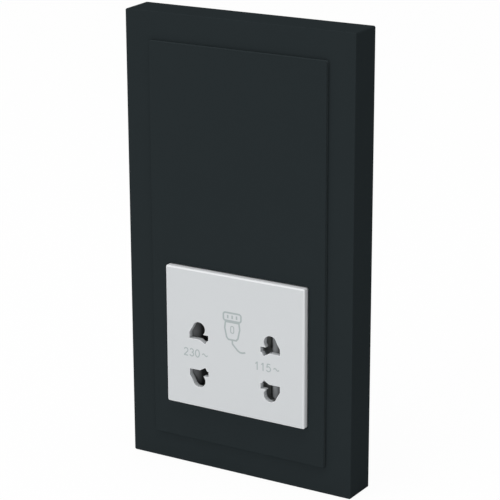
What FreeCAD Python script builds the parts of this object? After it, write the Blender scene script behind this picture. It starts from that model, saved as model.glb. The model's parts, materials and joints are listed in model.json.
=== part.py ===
import FreeCAD, Part
import os
from math import cos, radians, sin

# A two-gang shaver socket for a wall box, in millimetres. The wall plane is y = 0 and the front faces -Y.
# +Z is up, +X is right as the user sees it, and the origin is midway between the two wall-box screws.
# The isolating transformer sits behind the blank upper half, the two outlets are in the lower half.

# Cover frame
GANG_PITCH = 71.0        # centre distance of two gangs
FRAME_W = 86.0
FRAME_D = 12.5           # from the wall to the frame's front
FRAME_DRAFT = 0.2        # each side wall leans in by this much towards the front
FRAME_CORNER_R = 0.6
FRAME_CHAMFER = 0.3
FRAME_WALL = 2.2
FRAME_BORDER = 9.8       # from the frame's edge to the centre plate
COLLAR_WALL = 1.6        # wall round the opening for the plate
LEDGE_W = 2.2            # ledge in the opening that the plate clamps
LEDGE_DEPTH = 3.0
FRAME_RIB_T = 1.2
FRAME_RIBS_LONG = 5      # ribs along each tall side
FRAME_RIBS_SHORT = 2     # ribs along the top and the bottom

# Centre plate
PLATE_GAP = 0.15         # round the plate, in the frame's opening
PLATE_PROUD = 1.1
PLATE_WALL = 2.2
PLATE_SKIRT = 1.6
PLATE_CORNER_R = 0.6
PLATE_CHAMFER = 0.2
PLATE_RIB_T = 1.2
LEG_W = 8.0              # clip legs that hold the plate
LEG_T = 1.5
NIB = 0.9
NIB_H = 1.2
UPPER_LEG_X = 18.0
UPPER_LEG_ROWS = (6.0, 40.0)

# Outlet face
FACE_H = 48.8
FACE_SIDE_MARGIN = 6.5   # from the plate's edge
FACE_RISE = 4.3          # middle of the face above the lower gang's centre
FACE_GAP = 0.3
FACE_PROUD = 2.0
FACE_WALL = 2.0
FACE_CHAMFER = 0.45
FACE_CORNER_R = 0.6
FACE_SKIRT = 1.6
FLANGE_W = 2.0           # flange that the plate traps
FLANGE_T = 1.5

# Pin openings: a round hole, a flat blade and a slanted blade share one opening, above and below each outlet
OUTLET_PITCH = 27.7
OUTLET_DROP = 5.55       # outlet centres below the middle of the face
PIN_HOLE_R = 2.45
PIN_HOLE_OFFSET = 9.25
BLADE_L = 7.4
BLADE_T = 2.0
BLADE_OFFSET = 6.45
SLANT_L = 6.9
SLANT_T = 2.4
SLANT_SHIFT = 0.1        # towards the middle of the face
SLANT_OFFSET = 6.97
SLANT_DEG = 30.0
FLANK_RISE = 0.15        # straight flank, from just above the blade's outer end ...
FLANK_DEG = 140.0        # ... to this place on the round hole
FLANK_SINK = 0.08        # and this far into it

# Shutters and plug switches
SLIDE_GAP = 0.3
SHUTTER_IN = 2.2         # inner end of the ramps, from the outlet centre
SHUTTER_MARGIN = 0.5     # overlap round an opening
OPEN_MARGIN = 0.15       # what an open shutter leaves beside the opening
RAMP_H = 3.3
SHUTTER_BASE = 1.4
CAM_SLOPE = 0.2          # plunger travel for each millimetre of shutter travel
CAM_W = 3.6
CAM_GAP = 0.25
PLUNGER_U = 3.2          # plunger, from the outlet centre towards the middle
PLUNGER_W = 1.8          # square pin with a blunt wedge for a tip
PLUNGER_SLACK = 0.2
SWITCH_L = 12.8
SWITCH_H = 6.5
SWITCH_OUTER = 4.9       # from the plunger to the switch's outer end
SWITCH_TAB_L = 3.5
SWITCH_TAB_W = 2.4
SWITCH_TAB_T = 0.6
SPRING_STRIP = 0.3
SPRING_W = 3.0
SPRING_WAVES = 6
LUG_T = 1.4              # lug on the shutter that the spring pushes
SPRING_RIB_T = 1.2       # rib behind the face that the spring rests on

# Contacts
CONTACT_T = 0.6
CONTACT_W = 6.4
CONTACT_L = 9.0
CONTACT_CRIMP = 0.3
CONTACT_FLARE = 0.7
CONTACT_CLEAR = 0.3
TAIL_L = 5.0
TAIL_W = 4.0

# Contact carrier
CARRIER_T = 2.0
BLOCK_INSET = 0.4        # block wall inside the face's outline
BLOCK_WALL = 2.0
LIP_W = 0.9
LIP_T = 1.2
TRACK_T = 2.0
RAIL_T = 1.2
RAIL_H = 2.6
STOP_X = 3.0             # ribs that stop the closing shutters, from the middle
WELL_WALL = 1.2
SPIGOT_WALL = 4.0

# Support frame and fixing
FIX_PITCH = 120.6        # wall-box screws, one above the other
FIX_HOLE_R = 2.1
FIX_ROOM = 4.3           # from a fixing centre to the carrier
SUPPORT_T = 1.5
SUPPORT_MARGIN = 2.8     # inside the frame's outer wall
SUPPORT_CORNER_R = 4.0
SUPPORT_SLOT_W = 3.4
SUPPORT_SLOT_L = 8.4
SUPPORT_SLOT_X = 22.0
SEAT_W = 3.5             # carrier and housing overlap the steel by this much
WINDOW_GAP = 0.4

# Rear housing
HOUSING_MARGIN = 4.2     # inside the plate's outline
HOUSING_WALL = 2.0
HOUSING_D = 18.0
HOUSING_CORNER_R = 3.0
HOUSING_SHORTER = 0.5    # at each end, against the carrier
VENT_COUNT = 7
VENT_W = 1.8
VENT_L = 24.0
VENT_PITCH = 4.6

# Screws
BOSS_HALF = 3.2          # half the width of a square boss
BOSS_INSET = 0.8         # boss inside the housing's outline
SCREW_R = 1.4
SCREW_FIT = 0.1
SCREW_HEAD_R = 2.6
SCREW_HEAD_H = 2.0
SCREW_SINK = 3.0
SCREW_GRIP = 7.0         # into the carrier
BOSS_END = 0.8           # closed end of a carrier boss

# Transformer
EAR_ROOM = 8.0           # from the core to the housing's outside, for the clamp's ears
CORE_H = 35.0
CORE_STACK = 16.0
TRANSFORMER_Z = 26.0
BOBBIN_WALL = 1.0
BOBBIN_FIT = 0.15
FLANGE_OVER = 0.4        # bobbin flange past the winding
FLANGE_GAP = 0.25        # bobbin flange to the core's outer legs
WINDING_R = 4.0
CLAMP_T = 0.8
CLAMP_INSET = 1.0
CLAMP_BEND_R = 1.6
CLAMP_TAB = 4.0
EAR_H = 10.0
EAR_SCREW_R = 1.2
EAR_HEAD_R = 2.0
EAR_HEAD_H = 1.4
EAR_GRIP = 5.0
EAR_BOSS_HALF = 2.4
CUTOUT_T = 3.6
CUTOUT_W = 11.0
CUTOUT_H = 6.0
FIT_GAP = 0.15

# Terminals
TERMINAL_PITCH = 11.0
TERMINAL_Z = -44.5
TERMINAL_W = 7.0
TERMINAL_D = 8.0
TERMINAL_H = 9.0
WIRE_R = 1.9
WIRE_FUNNEL_R = 2.3
WIRE_INSET = 3.5         # wire bore behind the terminal's inner face
TERMINAL_SCREW_R = 1.5
TERMINAL_HEAD_R = 2.0
TERMINAL_HEAD_H = 1.3
TERMINAL_TAIL_W = 3.0
TERMINAL_TAIL_T = 0.8
TERMINAL_TAIL_L = 7.0
TERMINAL_WALL = 1.8
PEG_W = 2.8
PEG_L = 3.0

# Worked-out outlines
FRAME_H = FRAME_W + GANG_PITCH
PLATE_W = FRAME_W - 2 * FRAME_BORDER
PLATE_H = PLATE_W + GANG_PITCH
FACE_W = PLATE_W - 2 * FACE_SIDE_MARGIN
FACE_Z = -GANG_PITCH / 2 + FACE_RISE
OUTLET_X = OUTLET_PITCH / 2
OUTLET_Z = FACE_Z - OUTLET_DROP
HOUSING_W = PLATE_W - 2 * HOUSING_MARGIN
CARRIER_H = FIX_PITCH - 2 * FIX_ROOM
HOUSING_H = CARRIER_H - 2 * HOUSING_SHORTER
BLOCK_W = FACE_W - 2 * BLOCK_INSET
BLOCK_H = FACE_H - 2 * BLOCK_INSET
WINDOW_W = HOUSING_W + 2 * WINDOW_GAP
WINDOW_H = CARRIER_H - 2 * SEAT_W
BOSS_X = HOUSING_W / 2 - BOSS_HALF - BOSS_INSET
BOSS_Z = WINDOW_H / 2 - WINDOW_GAP - BOSS_HALF

# Worked-out depths, from the front to the back
Y_FRAME = -FRAME_D
Y_LEDGE = Y_FRAME + LEDGE_DEPTH
Y_PLATE = Y_FRAME - PLATE_PROUD
Y_PLATE_BACK = Y_PLATE + PLATE_WALL
Y_FACE = Y_PLATE - FACE_PROUD
Y_FACE_BACK = Y_FACE + FACE_WALL
Y_FLANGE = Y_PLATE_BACK + FIT_GAP
Y_BLOCK = Y_FLANGE + FLANGE_T
Y_SHUTTER = Y_FACE_BACK + SLIDE_GAP
Y_RAMP_LOW = Y_SHUTTER + RAMP_H
Y_SHUTTER_BACK = Y_RAMP_LOW + SHUTTER_BASE
Y_TRACK = Y_SHUTTER_BACK + SLIDE_GAP
Y_TRACK_BACK = Y_TRACK + TRACK_T
Y_SUPPORT = -SUPPORT_T
Y_CARRIER = Y_SUPPORT - CARRIER_T

# Extent of one pin opening: u runs from the outlet centre to the middle of the face, w away from the centre
SLANT_COS = cos(radians(SLANT_DEG))
SLANT_SIN = sin(radians(SLANT_DEG))
SLANT_HALF_U = (SLANT_L * SLANT_COS + SLANT_T * SLANT_SIN) / 2
OPENING_HALF_U = max(BLADE_L / 2, PIN_HOLE_R, SLANT_HALF_U + SLANT_SHIFT)
SLANT_LOW = SLANT_OFFSET - (SLANT_L * SLANT_SIN + SLANT_T * SLANT_COS) / 2
OPENING_LOW = min(BLADE_OFFSET - BLADE_T / 2, SLANT_LOW)
OPENING_HIGH = PIN_HOLE_OFFSET + PIN_HOLE_R

# Shutter outline in u and w, its travel outwards and the cam on its back
SHUTTER_OUT = -OPENING_HALF_U - SHUTTER_MARGIN
SHUTTER_TRAVEL = SHUTTER_IN + OPENING_HALF_U + OPEN_MARGIN
SHUTTER_LOW = OPENING_LOW - SHUTTER_MARGIN
SHUTTER_HIGH = OPENING_HIGH + SHUTTER_MARGIN
ARM_IN = OUTLET_X - STOP_X - SLIDE_GAP
CAM_START = PLUNGER_U - PLUNGER_W / 2 - SHUTTER_MARGIN
SPRING_OUT = SHUTTER_OUT + SPRING_STRIP
SPRING_IN = ARM_IN - LUG_T - SPRING_STRIP

# Pin well behind each opening, in w
GRIP_LOW = BLADE_OFFSET - BLADE_T / 2 - CONTACT_CLEAR
GRIP_HIGH = OPENING_HIGH + CONTACT_CLEAR
WELL_LOW = GRIP_LOW - CONTACT_T - FIT_GAP
WELL_HIGH = GRIP_HIGH + CONTACT_T + FIT_GAP
WELL_HALF_U = OPENING_HALF_U + FIT_GAP
Y_CONTACT = Y_TRACK_BACK + FIT_GAP
Y_CONTACT_BASE = Y_CONTACT + CONTACT_L
Y_WELL_FLOOR = Y_CONTACT_BASE + CONTACT_T + FIT_GAP
Y_WELL_END = Y_WELL_FLOOR + WELL_WALL

# Plug switch between the two wells of an outlet
SWITCH_T = 2 * (WELL_LOW - WELL_WALL - SLIDE_GAP)
Y_SWITCH = Y_TRACK_BACK + FIT_GAP
SWITCH_FROM = PLUNGER_U - SWITCH_OUTER
SWITCH_TO = SWITCH_FROM + SWITCH_L
PLUNGER_TRAVEL = CAM_SLOPE * SHUTTER_TRAVEL

# Transformer
CORE_W = HOUSING_W - 2 * EAR_ROOM
CORE_A = CORE_W / 6      # lamination module: outer legs, yokes and windows are this wide
WINDING_T = CORE_A - BOBBIN_FIT - BOBBIN_WALL - FLANGE_OVER - FLANGE_GAP
WINDING_HALF_Y = CORE_STACK / 2 + BOBBIN_FIT + BOBBIN_WALL + WINDING_T
WINDING_HALF_X = CORE_A + BOBBIN_FIT + BOBBIN_WALL + WINDING_T
TRANSFORMER_Y = Y_SUPPORT + CUTOUT_T + 2 * FIT_GAP + WINDING_HALF_Y
CORE_BOTTOM = TRANSFORMER_Z - CORE_H / 2
CORE_TOP = TRANSFORMER_Z + CORE_H / 2
BULGE_IN_W = CORE_W + 2 * (CLAMP_T + FIT_GAP)
BULGE_IN_H = CORE_H + 2 * (CLAMP_T + FIT_GAP)
BULGE_W = BULGE_IN_W + 2 * HOUSING_WALL
BULGE_H = BULGE_IN_H + 2 * HOUSING_WALL
BULGE_D = TRANSFORMER_Y + WINDING_HALF_Y + 2 * FLANGE_OVER + HOUSING_WALL
Y_HOUSING_FLOOR = HOUSING_D - HOUSING_WALL
EAR_END = HOUSING_W / 2 - HOUSING_WALL - FIT_GAP
EAR_SCREW_X = (BULGE_IN_W / 2 + EAR_END) / 2

# Terminal block on the housing's back
TERMINAL_Y = HOUSING_D + TERMINAL_WALL
BLOCK_END_Y = TERMINAL_Y + TERMINAL_D + 2 * FIT_GAP + TERMINAL_WALL
WIRE_Y = TERMINAL_Y + FIT_GAP + WIRE_INSET
TERMINAL_XS = (-TERMINAL_PITCH, 0.0, TERMINAL_PITCH)
CHAMBER_W = TERMINAL_W + 2 * FIT_GAP
CHAMBER_FLOOR = TERMINAL_Z - TERMINAL_H / 2
BLOCK_TOP = TERMINAL_Z + TERMINAL_H / 2 + TERMINAL_WALL
BLOCK_HALF_X = TERMINAL_PITCH + CHAMBER_W / 2 + TERMINAL_WALL
PEG_X = TERMINAL_PITCH / 2


# Helpers

def box(x, y, z):
    """Box from the (start, end) ranges on the three axes."""
    corner = FreeCAD.Vector(min(x), min(y), min(z))
    return Part.makeBox(abs(x[1] - x[0]), abs(y[1] - y[0]), abs(z[1] - z[0]), corner)


def centred_box(width, height, y, x=0.0, z=0.0):
    """Box centred on x and z, over the depth range y."""
    return box((x - width / 2, x + width / 2), y, (z - height / 2, z + height / 2))


def rod(radius, y, x=0.0, z=0.0):
    """Cylinder along Y."""
    start = FreeCAD.Vector(x, min(y), z)
    return Part.makeCylinder(radius, abs(y[1] - y[0]), start, FreeCAD.Vector(0, 1, 0))


def upright_rod(radius, z, x, y):
    """Cylinder along Z."""
    start = FreeCAD.Vector(x, y, min(z))
    return Part.makeCylinder(radius, abs(z[1] - z[0]), start, FreeCAD.Vector(0, 0, 1))


def rounded_outline(width, height, radius, y, z=0.0):
    """Closed wire: a rectangle with round corners, square to Y."""
    w = width / 2
    h = height / 2
    k = radius * (1 - cos(radians(45)))
    edges = []
    for sx, sz in ((1, 1), (-1, 1), (-1, -1), (1, -1)):
        side = FreeCAD.Vector(sx * w, y, z + sz * (h - radius))
        middle = FreeCAD.Vector(sx * (w - k), y, z + sz * (h - k))
        end = FreeCAD.Vector(sx * (w - radius), y, z + sz * h)
        first, last = (side, end) if sx * sz > 0 else (end, side)
        edges.append(Part.Arc(first, middle, last).toShape())
    loop = []
    for number, arc in enumerate(edges):
        following = edges[(number + 1) % len(edges)]
        loop.append(arc)
        loop.append(Part.makeLine(arc.valueAt(arc.LastParameter), following.valueAt(following.FirstParameter)))
    return Part.Wire(loop)


def rounded_block(width, height, radius, y, z=0.0):
    """Prism with round corners over the depth range y."""
    face = Part.Face(rounded_outline(width, height, radius, y[0], z))
    return face.extrude(FreeCAD.Vector(0, y[1] - y[0], 0))


def edges_at(shape, y):
    """Edges that lie in one plane square to Y."""
    near = 0.001
    return [e for e in shape.Edges if abs(e.BoundBox.YMin - y) < near and abs(e.BoundBox.YMax - y) < near]


def profile_along_z(points, z):
    """Solid with a straight-sided section in x and y, over the range z."""
    corners = [FreeCAD.Vector(x, y, z[0]) for x, y in points]
    face = Part.Face(Part.makePolygon(corners + corners[:1]))
    return face.extrude(FreeCAD.Vector(0, 0, z[1] - z[0]))


def bent_strip(points, thickness, width):
    """Strip of sheet along an open line of points, offset to one side and widened along the free axis."""
    line = Part.makePolygon(points)
    face = line.makeOffset2D(thickness, 0, True, True, False)
    return face.extrude(width)


def mirrored_x(shape):
    return shape.mirror(FreeCAD.Vector(0, 0, 0), FreeCAD.Vector(1, 0, 0))


def mirrored_w(shape):
    """Mirror about the line through the two outlet centres."""
    return shape.mirror(FreeCAD.Vector(0, 0, OUTLET_Z), FreeCAD.Vector(0, 0, 1))


def four_corners(x, z):
    return [(sx * x, sz * z) for sx in (-1, 1) for sz in (-1, 1)]


def at_u(u):
    """x of a place on the left outlet."""
    return u - OUTLET_X


def u_box(u, y, w):
    """Box on the left outlet, from ranges of u and w."""
    return box((at_u(u[0]), at_u(u[1])), y, (OUTLET_Z + w[0], OUTLET_Z + w[1]))


def u_prism(corners, y):
    """Prism on the left outlet, from corners in u and w."""
    points = [FreeCAD.Vector(at_u(u), y[0], OUTLET_Z + w) for u, w in corners]
    face = Part.Face(Part.makePolygon(points + points[:1]))
    return face.extrude(FreeCAD.Vector(0, y[1] - y[0], 0))


# Front pieces

def make_cover_frame():
    back = rounded_outline(FRAME_W, FRAME_H, FRAME_CORNER_R, 0.0)
    front_w = FRAME_W - 2 * FRAME_DRAFT
    front_h = FRAME_H - 2 * FRAME_DRAFT
    front = rounded_outline(front_w, front_h, FRAME_CORNER_R, Y_FRAME)
    frame = Part.makeLoft([back, front], True, True)
    frame = frame.makeChamfer(FRAME_CHAMFER, edges_at(frame, Y_FRAME))
    opening_w = PLATE_W + 2 * PLATE_GAP
    opening_h = PLATE_H + 2 * PLATE_GAP
    collar_w = opening_w + 2 * COLLAR_WALL
    collar_h = opening_h + 2 * COLLAR_WALL
    y_wall = Y_FRAME + FRAME_WALL
    hollow_w = FRAME_W - 2 * FRAME_WALL
    hollow_h = FRAME_H - 2 * FRAME_WALL
    channel = centred_box(hollow_w, hollow_h, (y_wall, 0.0))
    channel = channel.cut(centred_box(collar_w, collar_h, (y_wall, Y_SUPPORT)))
    frame = frame.cut(channel)
    frame = frame.cut(rounded_block(opening_w, opening_h, PLATE_CORNER_R, (Y_FRAME, Y_LEDGE)))
    ledge_w = opening_w - 2 * LEDGE_W
    ledge_h = opening_h - 2 * LEDGE_W
    frame = frame.cut(centred_box(ledge_w, ledge_h, (Y_LEDGE, 0.0)))
    ribs = []
    y_rib = (y_wall, Y_SUPPORT - FRAME_RIB_T)
    for number in range(FRAME_RIBS_LONG):
        z = hollow_h * ((number + 0.5) / FRAME_RIBS_LONG - 0.5)
        for side in (-1, 1):
            ribs.append(box((side * collar_w / 2, side * hollow_w / 2), y_rib,
                            (z - FRAME_RIB_T / 2, z + FRAME_RIB_T / 2)))
    for number in range(FRAME_RIBS_SHORT):
        x = hollow_w * ((number + 0.5) / FRAME_RIBS_SHORT - 0.5)
        for side in (-1, 1):
            ribs.append(box((x - FRAME_RIB_T / 2, x + FRAME_RIB_T / 2), y_rib,
                            (side * collar_h / 2, side * hollow_h / 2)))
    return frame.multiFuse(ribs).removeSplitter()


def upper_leg(x_side, z):
    """Clip leg of the plate that reaches through the carrier, with its nib behind it."""
    inner = UPPER_LEG_X
    outer = inner + LEG_T
    y_nib = Y_SUPPORT + FIT_GAP
    z_range = (z - LEG_W / 2, z + LEG_W / 2)
    leg = box((x_side * inner, x_side * outer), (Y_PLATE_BACK, y_nib + NIB_H), z_range)
    return leg.fuse(box((x_side * outer, x_side * (outer + NIB)), (y_nib, y_nib + NIB_H), z_range))


def lower_leg(x_side, extra=0.0):
    """Clip leg beside the outlet face, with its nib behind the carrier's lip."""
    inner = BLOCK_W / 2 + LIP_W + FIT_GAP - extra
    outer = BLOCK_W / 2 + LIP_W + FIT_GAP + LEG_T + extra
    y_nib = Y_BLOCK + LIP_T + FIT_GAP
    z_range = (FACE_Z - LEG_W / 2 - extra, FACE_Z + LEG_W / 2 + extra)
    leg = box((x_side * inner, x_side * outer), (Y_PLATE_BACK, y_nib + NIB_H), z_range)
    return leg.fuse(box((x_side * (inner - NIB), x_side * inner), (y_nib, y_nib + NIB_H), z_range))


def make_insert_plate():
    plate = rounded_block(PLATE_W, PLATE_H, PLATE_CORNER_R, (Y_PLATE, Y_LEDGE))
    plate = plate.makeChamfer(PLATE_CHAMFER, edges_at(plate, Y_PLATE))
    inside_w = PLATE_W - 2 * PLATE_SKIRT
    inside_h = PLATE_H - 2 * PLATE_SKIRT
    plate = plate.cut(centred_box(inside_w, inside_h, (Y_PLATE_BACK, Y_LEDGE)))
    window_w = FACE_W + 2 * FACE_GAP
    window_h = FACE_H + 2 * FACE_GAP
    plate = plate.cut(rounded_block(window_w, window_h, FACE_CORNER_R + FACE_GAP, (Y_PLATE, Y_PLATE_BACK), FACE_Z))
    rib_low = FACE_Z + FACE_H / 2 + FLANGE_W + PLATE_RIB_T
    rib_high = inside_h / 2
    y_rib = (Y_PLATE_BACK, Y_LEDGE)
    added = []
    for side in (-1, 1):
        x = side * inside_w / 6
        added.append(box((x - PLATE_RIB_T / 2, x + PLATE_RIB_T / 2), y_rib, (rib_low, rib_high)))
        added.append(lower_leg(side))
        for z in UPPER_LEG_ROWS:
            added.append(upper_leg(side, z))
    for share in (1 / 3, 2 / 3):
        z = rib_low + share * (rib_high - rib_low)
        added.append(box((-inside_w / 2, inside_w / 2), y_rib, (z - PLATE_RIB_T / 2, z + PLATE_RIB_T / 2)))
    return plate.multiFuse(added).removeSplitter()


def pin_opening(y):
    """Upper opening of the left outlet: round hole, flat blade, slanted blade and outer flank in one."""
    hole = rod(PIN_HOLE_R, y, at_u(0.0), OUTLET_Z + PIN_HOLE_OFFSET)
    blade = centred_box(BLADE_L, BLADE_T, y, at_u(0.0), OUTLET_Z + BLADE_OFFSET)
    slant = centred_box(SLANT_L, SLANT_T, y, at_u(SLANT_SHIFT), OUTLET_Z + SLANT_OFFSET)
    centre = FreeCAD.Vector(at_u(SLANT_SHIFT), 0, OUTLET_Z + SLANT_OFFSET)
    slant.rotate(centre, FreeCAD.Vector(0, 1, 0), SLANT_DEG)
    blade_end = -BLADE_L / 2
    reach = PIN_HOLE_R - FLANK_SINK
    flank_end = (reach * cos(radians(FLANK_DEG)), PIN_HOLE_OFFSET + reach * sin(radians(FLANK_DEG)))
    flank_start = (blade_end, BLADE_OFFSET + BLADE_T / 2 + FLANK_RISE)
    flank = u_prism([(blade_end, BLADE_OFFSET), flank_start, flank_end, (0.0, PIN_HOLE_OFFSET)], y)
    return hole.multiFuse([blade, slant, flank]).removeSplitter()


def all_four(shape):
    """The left upper shape with its three mirror images."""
    lower = mirrored_w(shape)
    return [shape, lower, mirrored_x(shape), mirrored_x(lower)]


def make_socket_face():
    face = rounded_block(FACE_W, FACE_H, FACE_CORNER_R, (Y_FACE, Y_BLOCK), FACE_Z)
    face = face.makeChamfer(FACE_CHAMFER, edges_at(face, Y_FACE))
    flange_w = FACE_W + 2 * FLANGE_W
    flange_h = FACE_H + 2 * FLANGE_W
    face = face.fuse(rounded_block(flange_w, flange_h, FACE_CORNER_R, (Y_FLANGE, Y_BLOCK), FACE_Z))
    spring_rib = u_box((SHUTTER_OUT - SPRING_RIB_T, SHUTTER_OUT), (Y_FACE_BACK, Y_RAMP_LOW - SLIDE_GAP),
                       (-CAM_W / 2, CAM_W / 2))
    inside_w = FACE_W - 2 * FACE_SKIRT
    inside_h = FACE_H - 2 * FACE_SKIRT
    cuts = [centred_box(inside_w, inside_h, (Y_FACE_BACK, Y_BLOCK), 0.0, FACE_Z)]
    cuts += all_four(pin_opening((Y_FACE, Y_FACE_BACK)))
    cuts += [lower_leg(side, FIT_GAP) for side in (-1, 1)]
    return face.cut(cuts).multiFuse([spring_rib, mirrored_x(spring_rib)]).removeSplitter()


# Carrier, contacts, shutters and switches

def carrier_wells():
    """Pin well, switch stops and cam slot of the left outlet: (solids to add, solids to cut)."""
    outer_u = (-WELL_HALF_U - WELL_WALL, WELL_HALF_U + WELL_WALL)
    outer_w = (WELL_LOW - WELL_WALL, WELL_HIGH + WELL_WALL)
    well = u_box(outer_u, (Y_TRACK, Y_WELL_END), outer_w)
    hollow = u_box((-WELL_HALF_U, WELL_HALF_U), (Y_TRACK, Y_WELL_FLOOR), (WELL_LOW, WELL_HIGH))
    middle = (GRIP_LOW + GRIP_HIGH) / 2
    half_slot = CONTACT_T / 2 + FIT_GAP
    tail_half = TAIL_W / 2 + FIT_GAP
    tail_slot = u_box((-tail_half, tail_half), (Y_WELL_FLOOR, Y_WELL_END), (middle - half_slot, middle + half_slot))
    stop_w = (-WELL_LOW + WELL_WALL / 2, WELL_LOW - WELL_WALL / 2)
    y_stop = (Y_TRACK_BACK, Y_SWITCH + SWITCH_H / 2)
    stop_outer = u_box((SWITCH_FROM - FIT_GAP - RAIL_T, SWITCH_FROM - FIT_GAP), y_stop, stop_w)
    stop_inner = u_box((SWITCH_TO + FIT_GAP, SWITCH_TO + FIT_GAP + RAIL_T), y_stop, stop_w)
    slot_half = CAM_W / 2 + SLIDE_GAP
    cam_slot = u_box((CAM_START - SHUTTER_TRAVEL - SLIDE_GAP, ARM_IN + SLIDE_GAP), (Y_TRACK, Y_TRACK_BACK),
                     (-slot_half, slot_half))
    return [well, mirrored_w(well), stop_outer, stop_inner], [hollow, tail_slot], [cam_slot]


def make_contact_carrier():
    plate = centred_box(HOUSING_W, CARRIER_H, (Y_CARRIER, Y_SUPPORT))
    spigot_h = WINDOW_H - 2 * WINDOW_GAP
    spigot = rounded_block(HOUSING_W, spigot_h, HOUSING_CORNER_R, (Y_SUPPORT, 0.0))
    spigot = spigot.cut(centred_box(HOUSING_W - 2 * SPIGOT_WALL, spigot_h - 2 * SPIGOT_WALL, (Y_SUPPORT, 0.0)))
    block = centred_box(BLOCK_W, BLOCK_H, (Y_BLOCK, Y_SUPPORT), 0.0, FACE_Z)
    lip = centred_box(BLOCK_W + 2 * LIP_W, BLOCK_H, (Y_BLOCK, Y_BLOCK + LIP_T), 0.0, FACE_Z)
    inside_w = BLOCK_W - 2 * BLOCK_WALL
    inside_h = BLOCK_H - 2 * BLOCK_WALL
    inside = centred_box(inside_w, inside_h, (Y_BLOCK, 0.0), 0.0, FACE_Z)
    body = plate.multiFuse([spigot, block, lip]).cut(inside)
    floor = centred_box(BLOCK_W - BLOCK_WALL, BLOCK_H - BLOCK_WALL, (Y_TRACK, Y_TRACK_BACK), 0.0, FACE_Z)
    rail_z = SHUTTER_HIGH + SLIDE_GAP
    y_rail = (Y_TRACK - RAIL_H, Y_TRACK)
    rails = []
    for side in (-1, 1):
        z = (OUTLET_Z + side * rail_z, OUTLET_Z + side * (rail_z + RAIL_T))
        rails.append(box((-inside_w / 2, inside_w / 2), y_rail, z))
        stop_x = (side * (STOP_X - RAIL_T), side * STOP_X)
        rails.append(box(stop_x, y_rail, (OUTLET_Z - rail_z, OUTLET_Z + rail_z)))
    bosses = []
    pilots = []
    for x, z in four_corners(BOSS_X, BOSS_Z):
        bosses.append(centred_box(2 * BOSS_HALF, 2 * BOSS_HALF, (-SCREW_GRIP - BOSS_END, 0.0), x, z))
        pilots.append(rod(SCREW_R + SCREW_FIT, (-SCREW_GRIP - SCREW_FIT, 0.0), x, z))
    solids, quarter_cuts, half_cuts = carrier_wells()
    solids += [mirrored_x(solid) for solid in solids]
    body = body.multiFuse([floor] + rails + bosses + solids)
    cuts = pilots + half_cuts + [mirrored_x(cut) for cut in half_cuts]
    for cut in quarter_cuts:
        cuts += all_four(cut)
    for side in (-1, 1):
        for z in UPPER_LEG_ROWS:
            inner = side * (UPPER_LEG_X - FIT_GAP)
            outer = side * (UPPER_LEG_X + LEG_T + FIT_GAP)
            half = LEG_W / 2 + FIT_GAP
            cuts.append(box((inner, outer), (Y_CARRIER, Y_SUPPORT), (z - half, z + half)))
    return body.cut(cuts).removeSplitter()


def make_contact():
    """Upper contact of the left outlet: a sprung U of strip with a tail for its lead."""
    crimp = Y_CONTACT + CONTACT_FLARE + CONTACT_L / 5
    straight = Y_CONTACT + CONTACT_L / 2
    upper_leg_line = [(Y_CONTACT, GRIP_HIGH + CONTACT_FLARE - CONTACT_T), (crimp, GRIP_HIGH - CONTACT_CRIMP),
                      (straight, GRIP_HIGH), (Y_CONTACT_BASE, GRIP_HIGH)]
    lower_leg_line = [(Y_CONTACT_BASE, GRIP_LOW), (straight, GRIP_LOW), (crimp, GRIP_LOW + CONTACT_CRIMP),
                      (Y_CONTACT, GRIP_LOW - CONTACT_FLARE + CONTACT_T)]
    x = at_u(-CONTACT_W / 2)
    line = [FreeCAD.Vector(x, y, OUTLET_Z + w) for y, w in upper_leg_line + lower_leg_line]
    strip = bent_strip(line, CONTACT_T, FreeCAD.Vector(CONTACT_W, 0, 0))
    middle = (GRIP_LOW + GRIP_HIGH) / 2
    tail = u_box((-TAIL_W / 2, TAIL_W / 2), (Y_CONTACT_BASE, Y_CONTACT_BASE + TAIL_L),
                 (middle - CONTACT_T / 2, middle + CONTACT_T / 2))
    return strip.fuse(tail).removeSplitter()


def cam_y(u):
    """Depth of the cam on the shutter's back."""
    return Y_SHUTTER_BACK + CAM_SLOPE * (u - CAM_START)


def make_shutter():
    """Left shutter: two ramps that the pins push aside, a bridge between them and a cam on its back."""
    ramp = [(SHUTTER_OUT, Y_SHUTTER_BACK), (SHUTTER_OUT, Y_SHUTTER), (SHUTTER_IN, Y_RAMP_LOW),
            (SHUTTER_IN, Y_SHUTTER_BACK)]
    ramp_points = [(at_u(u), y) for u, y in ramp]
    upper = profile_along_z(ramp_points, (OUTLET_Z + SHUTTER_LOW, OUTLET_Z + SHUTTER_HIGH))
    lower = mirrored_w(upper)
    bridge = u_box((SHUTTER_OUT, ARM_IN), (Y_RAMP_LOW, Y_SHUTTER_BACK), (-SHUTTER_LOW, SHUTTER_LOW))
    lug = u_box((ARM_IN - LUG_T, ARM_IN), (Y_SHUTTER, Y_RAMP_LOW), (-CAM_W / 2, CAM_W / 2))
    cam = [(ARM_IN, Y_RAMP_LOW), (ARM_IN, cam_y(ARM_IN)), (CAM_START, Y_SHUTTER_BACK), (CAM_START, Y_RAMP_LOW)]
    cam_points = [(at_u(u), y) for u, y in cam]
    cam_bar = profile_along_z(cam_points, (OUTLET_Z - CAM_W / 2, OUTLET_Z + CAM_W / 2))
    return upper.multiFuse([lower, bridge, lug, cam_bar]).removeSplitter()


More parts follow.
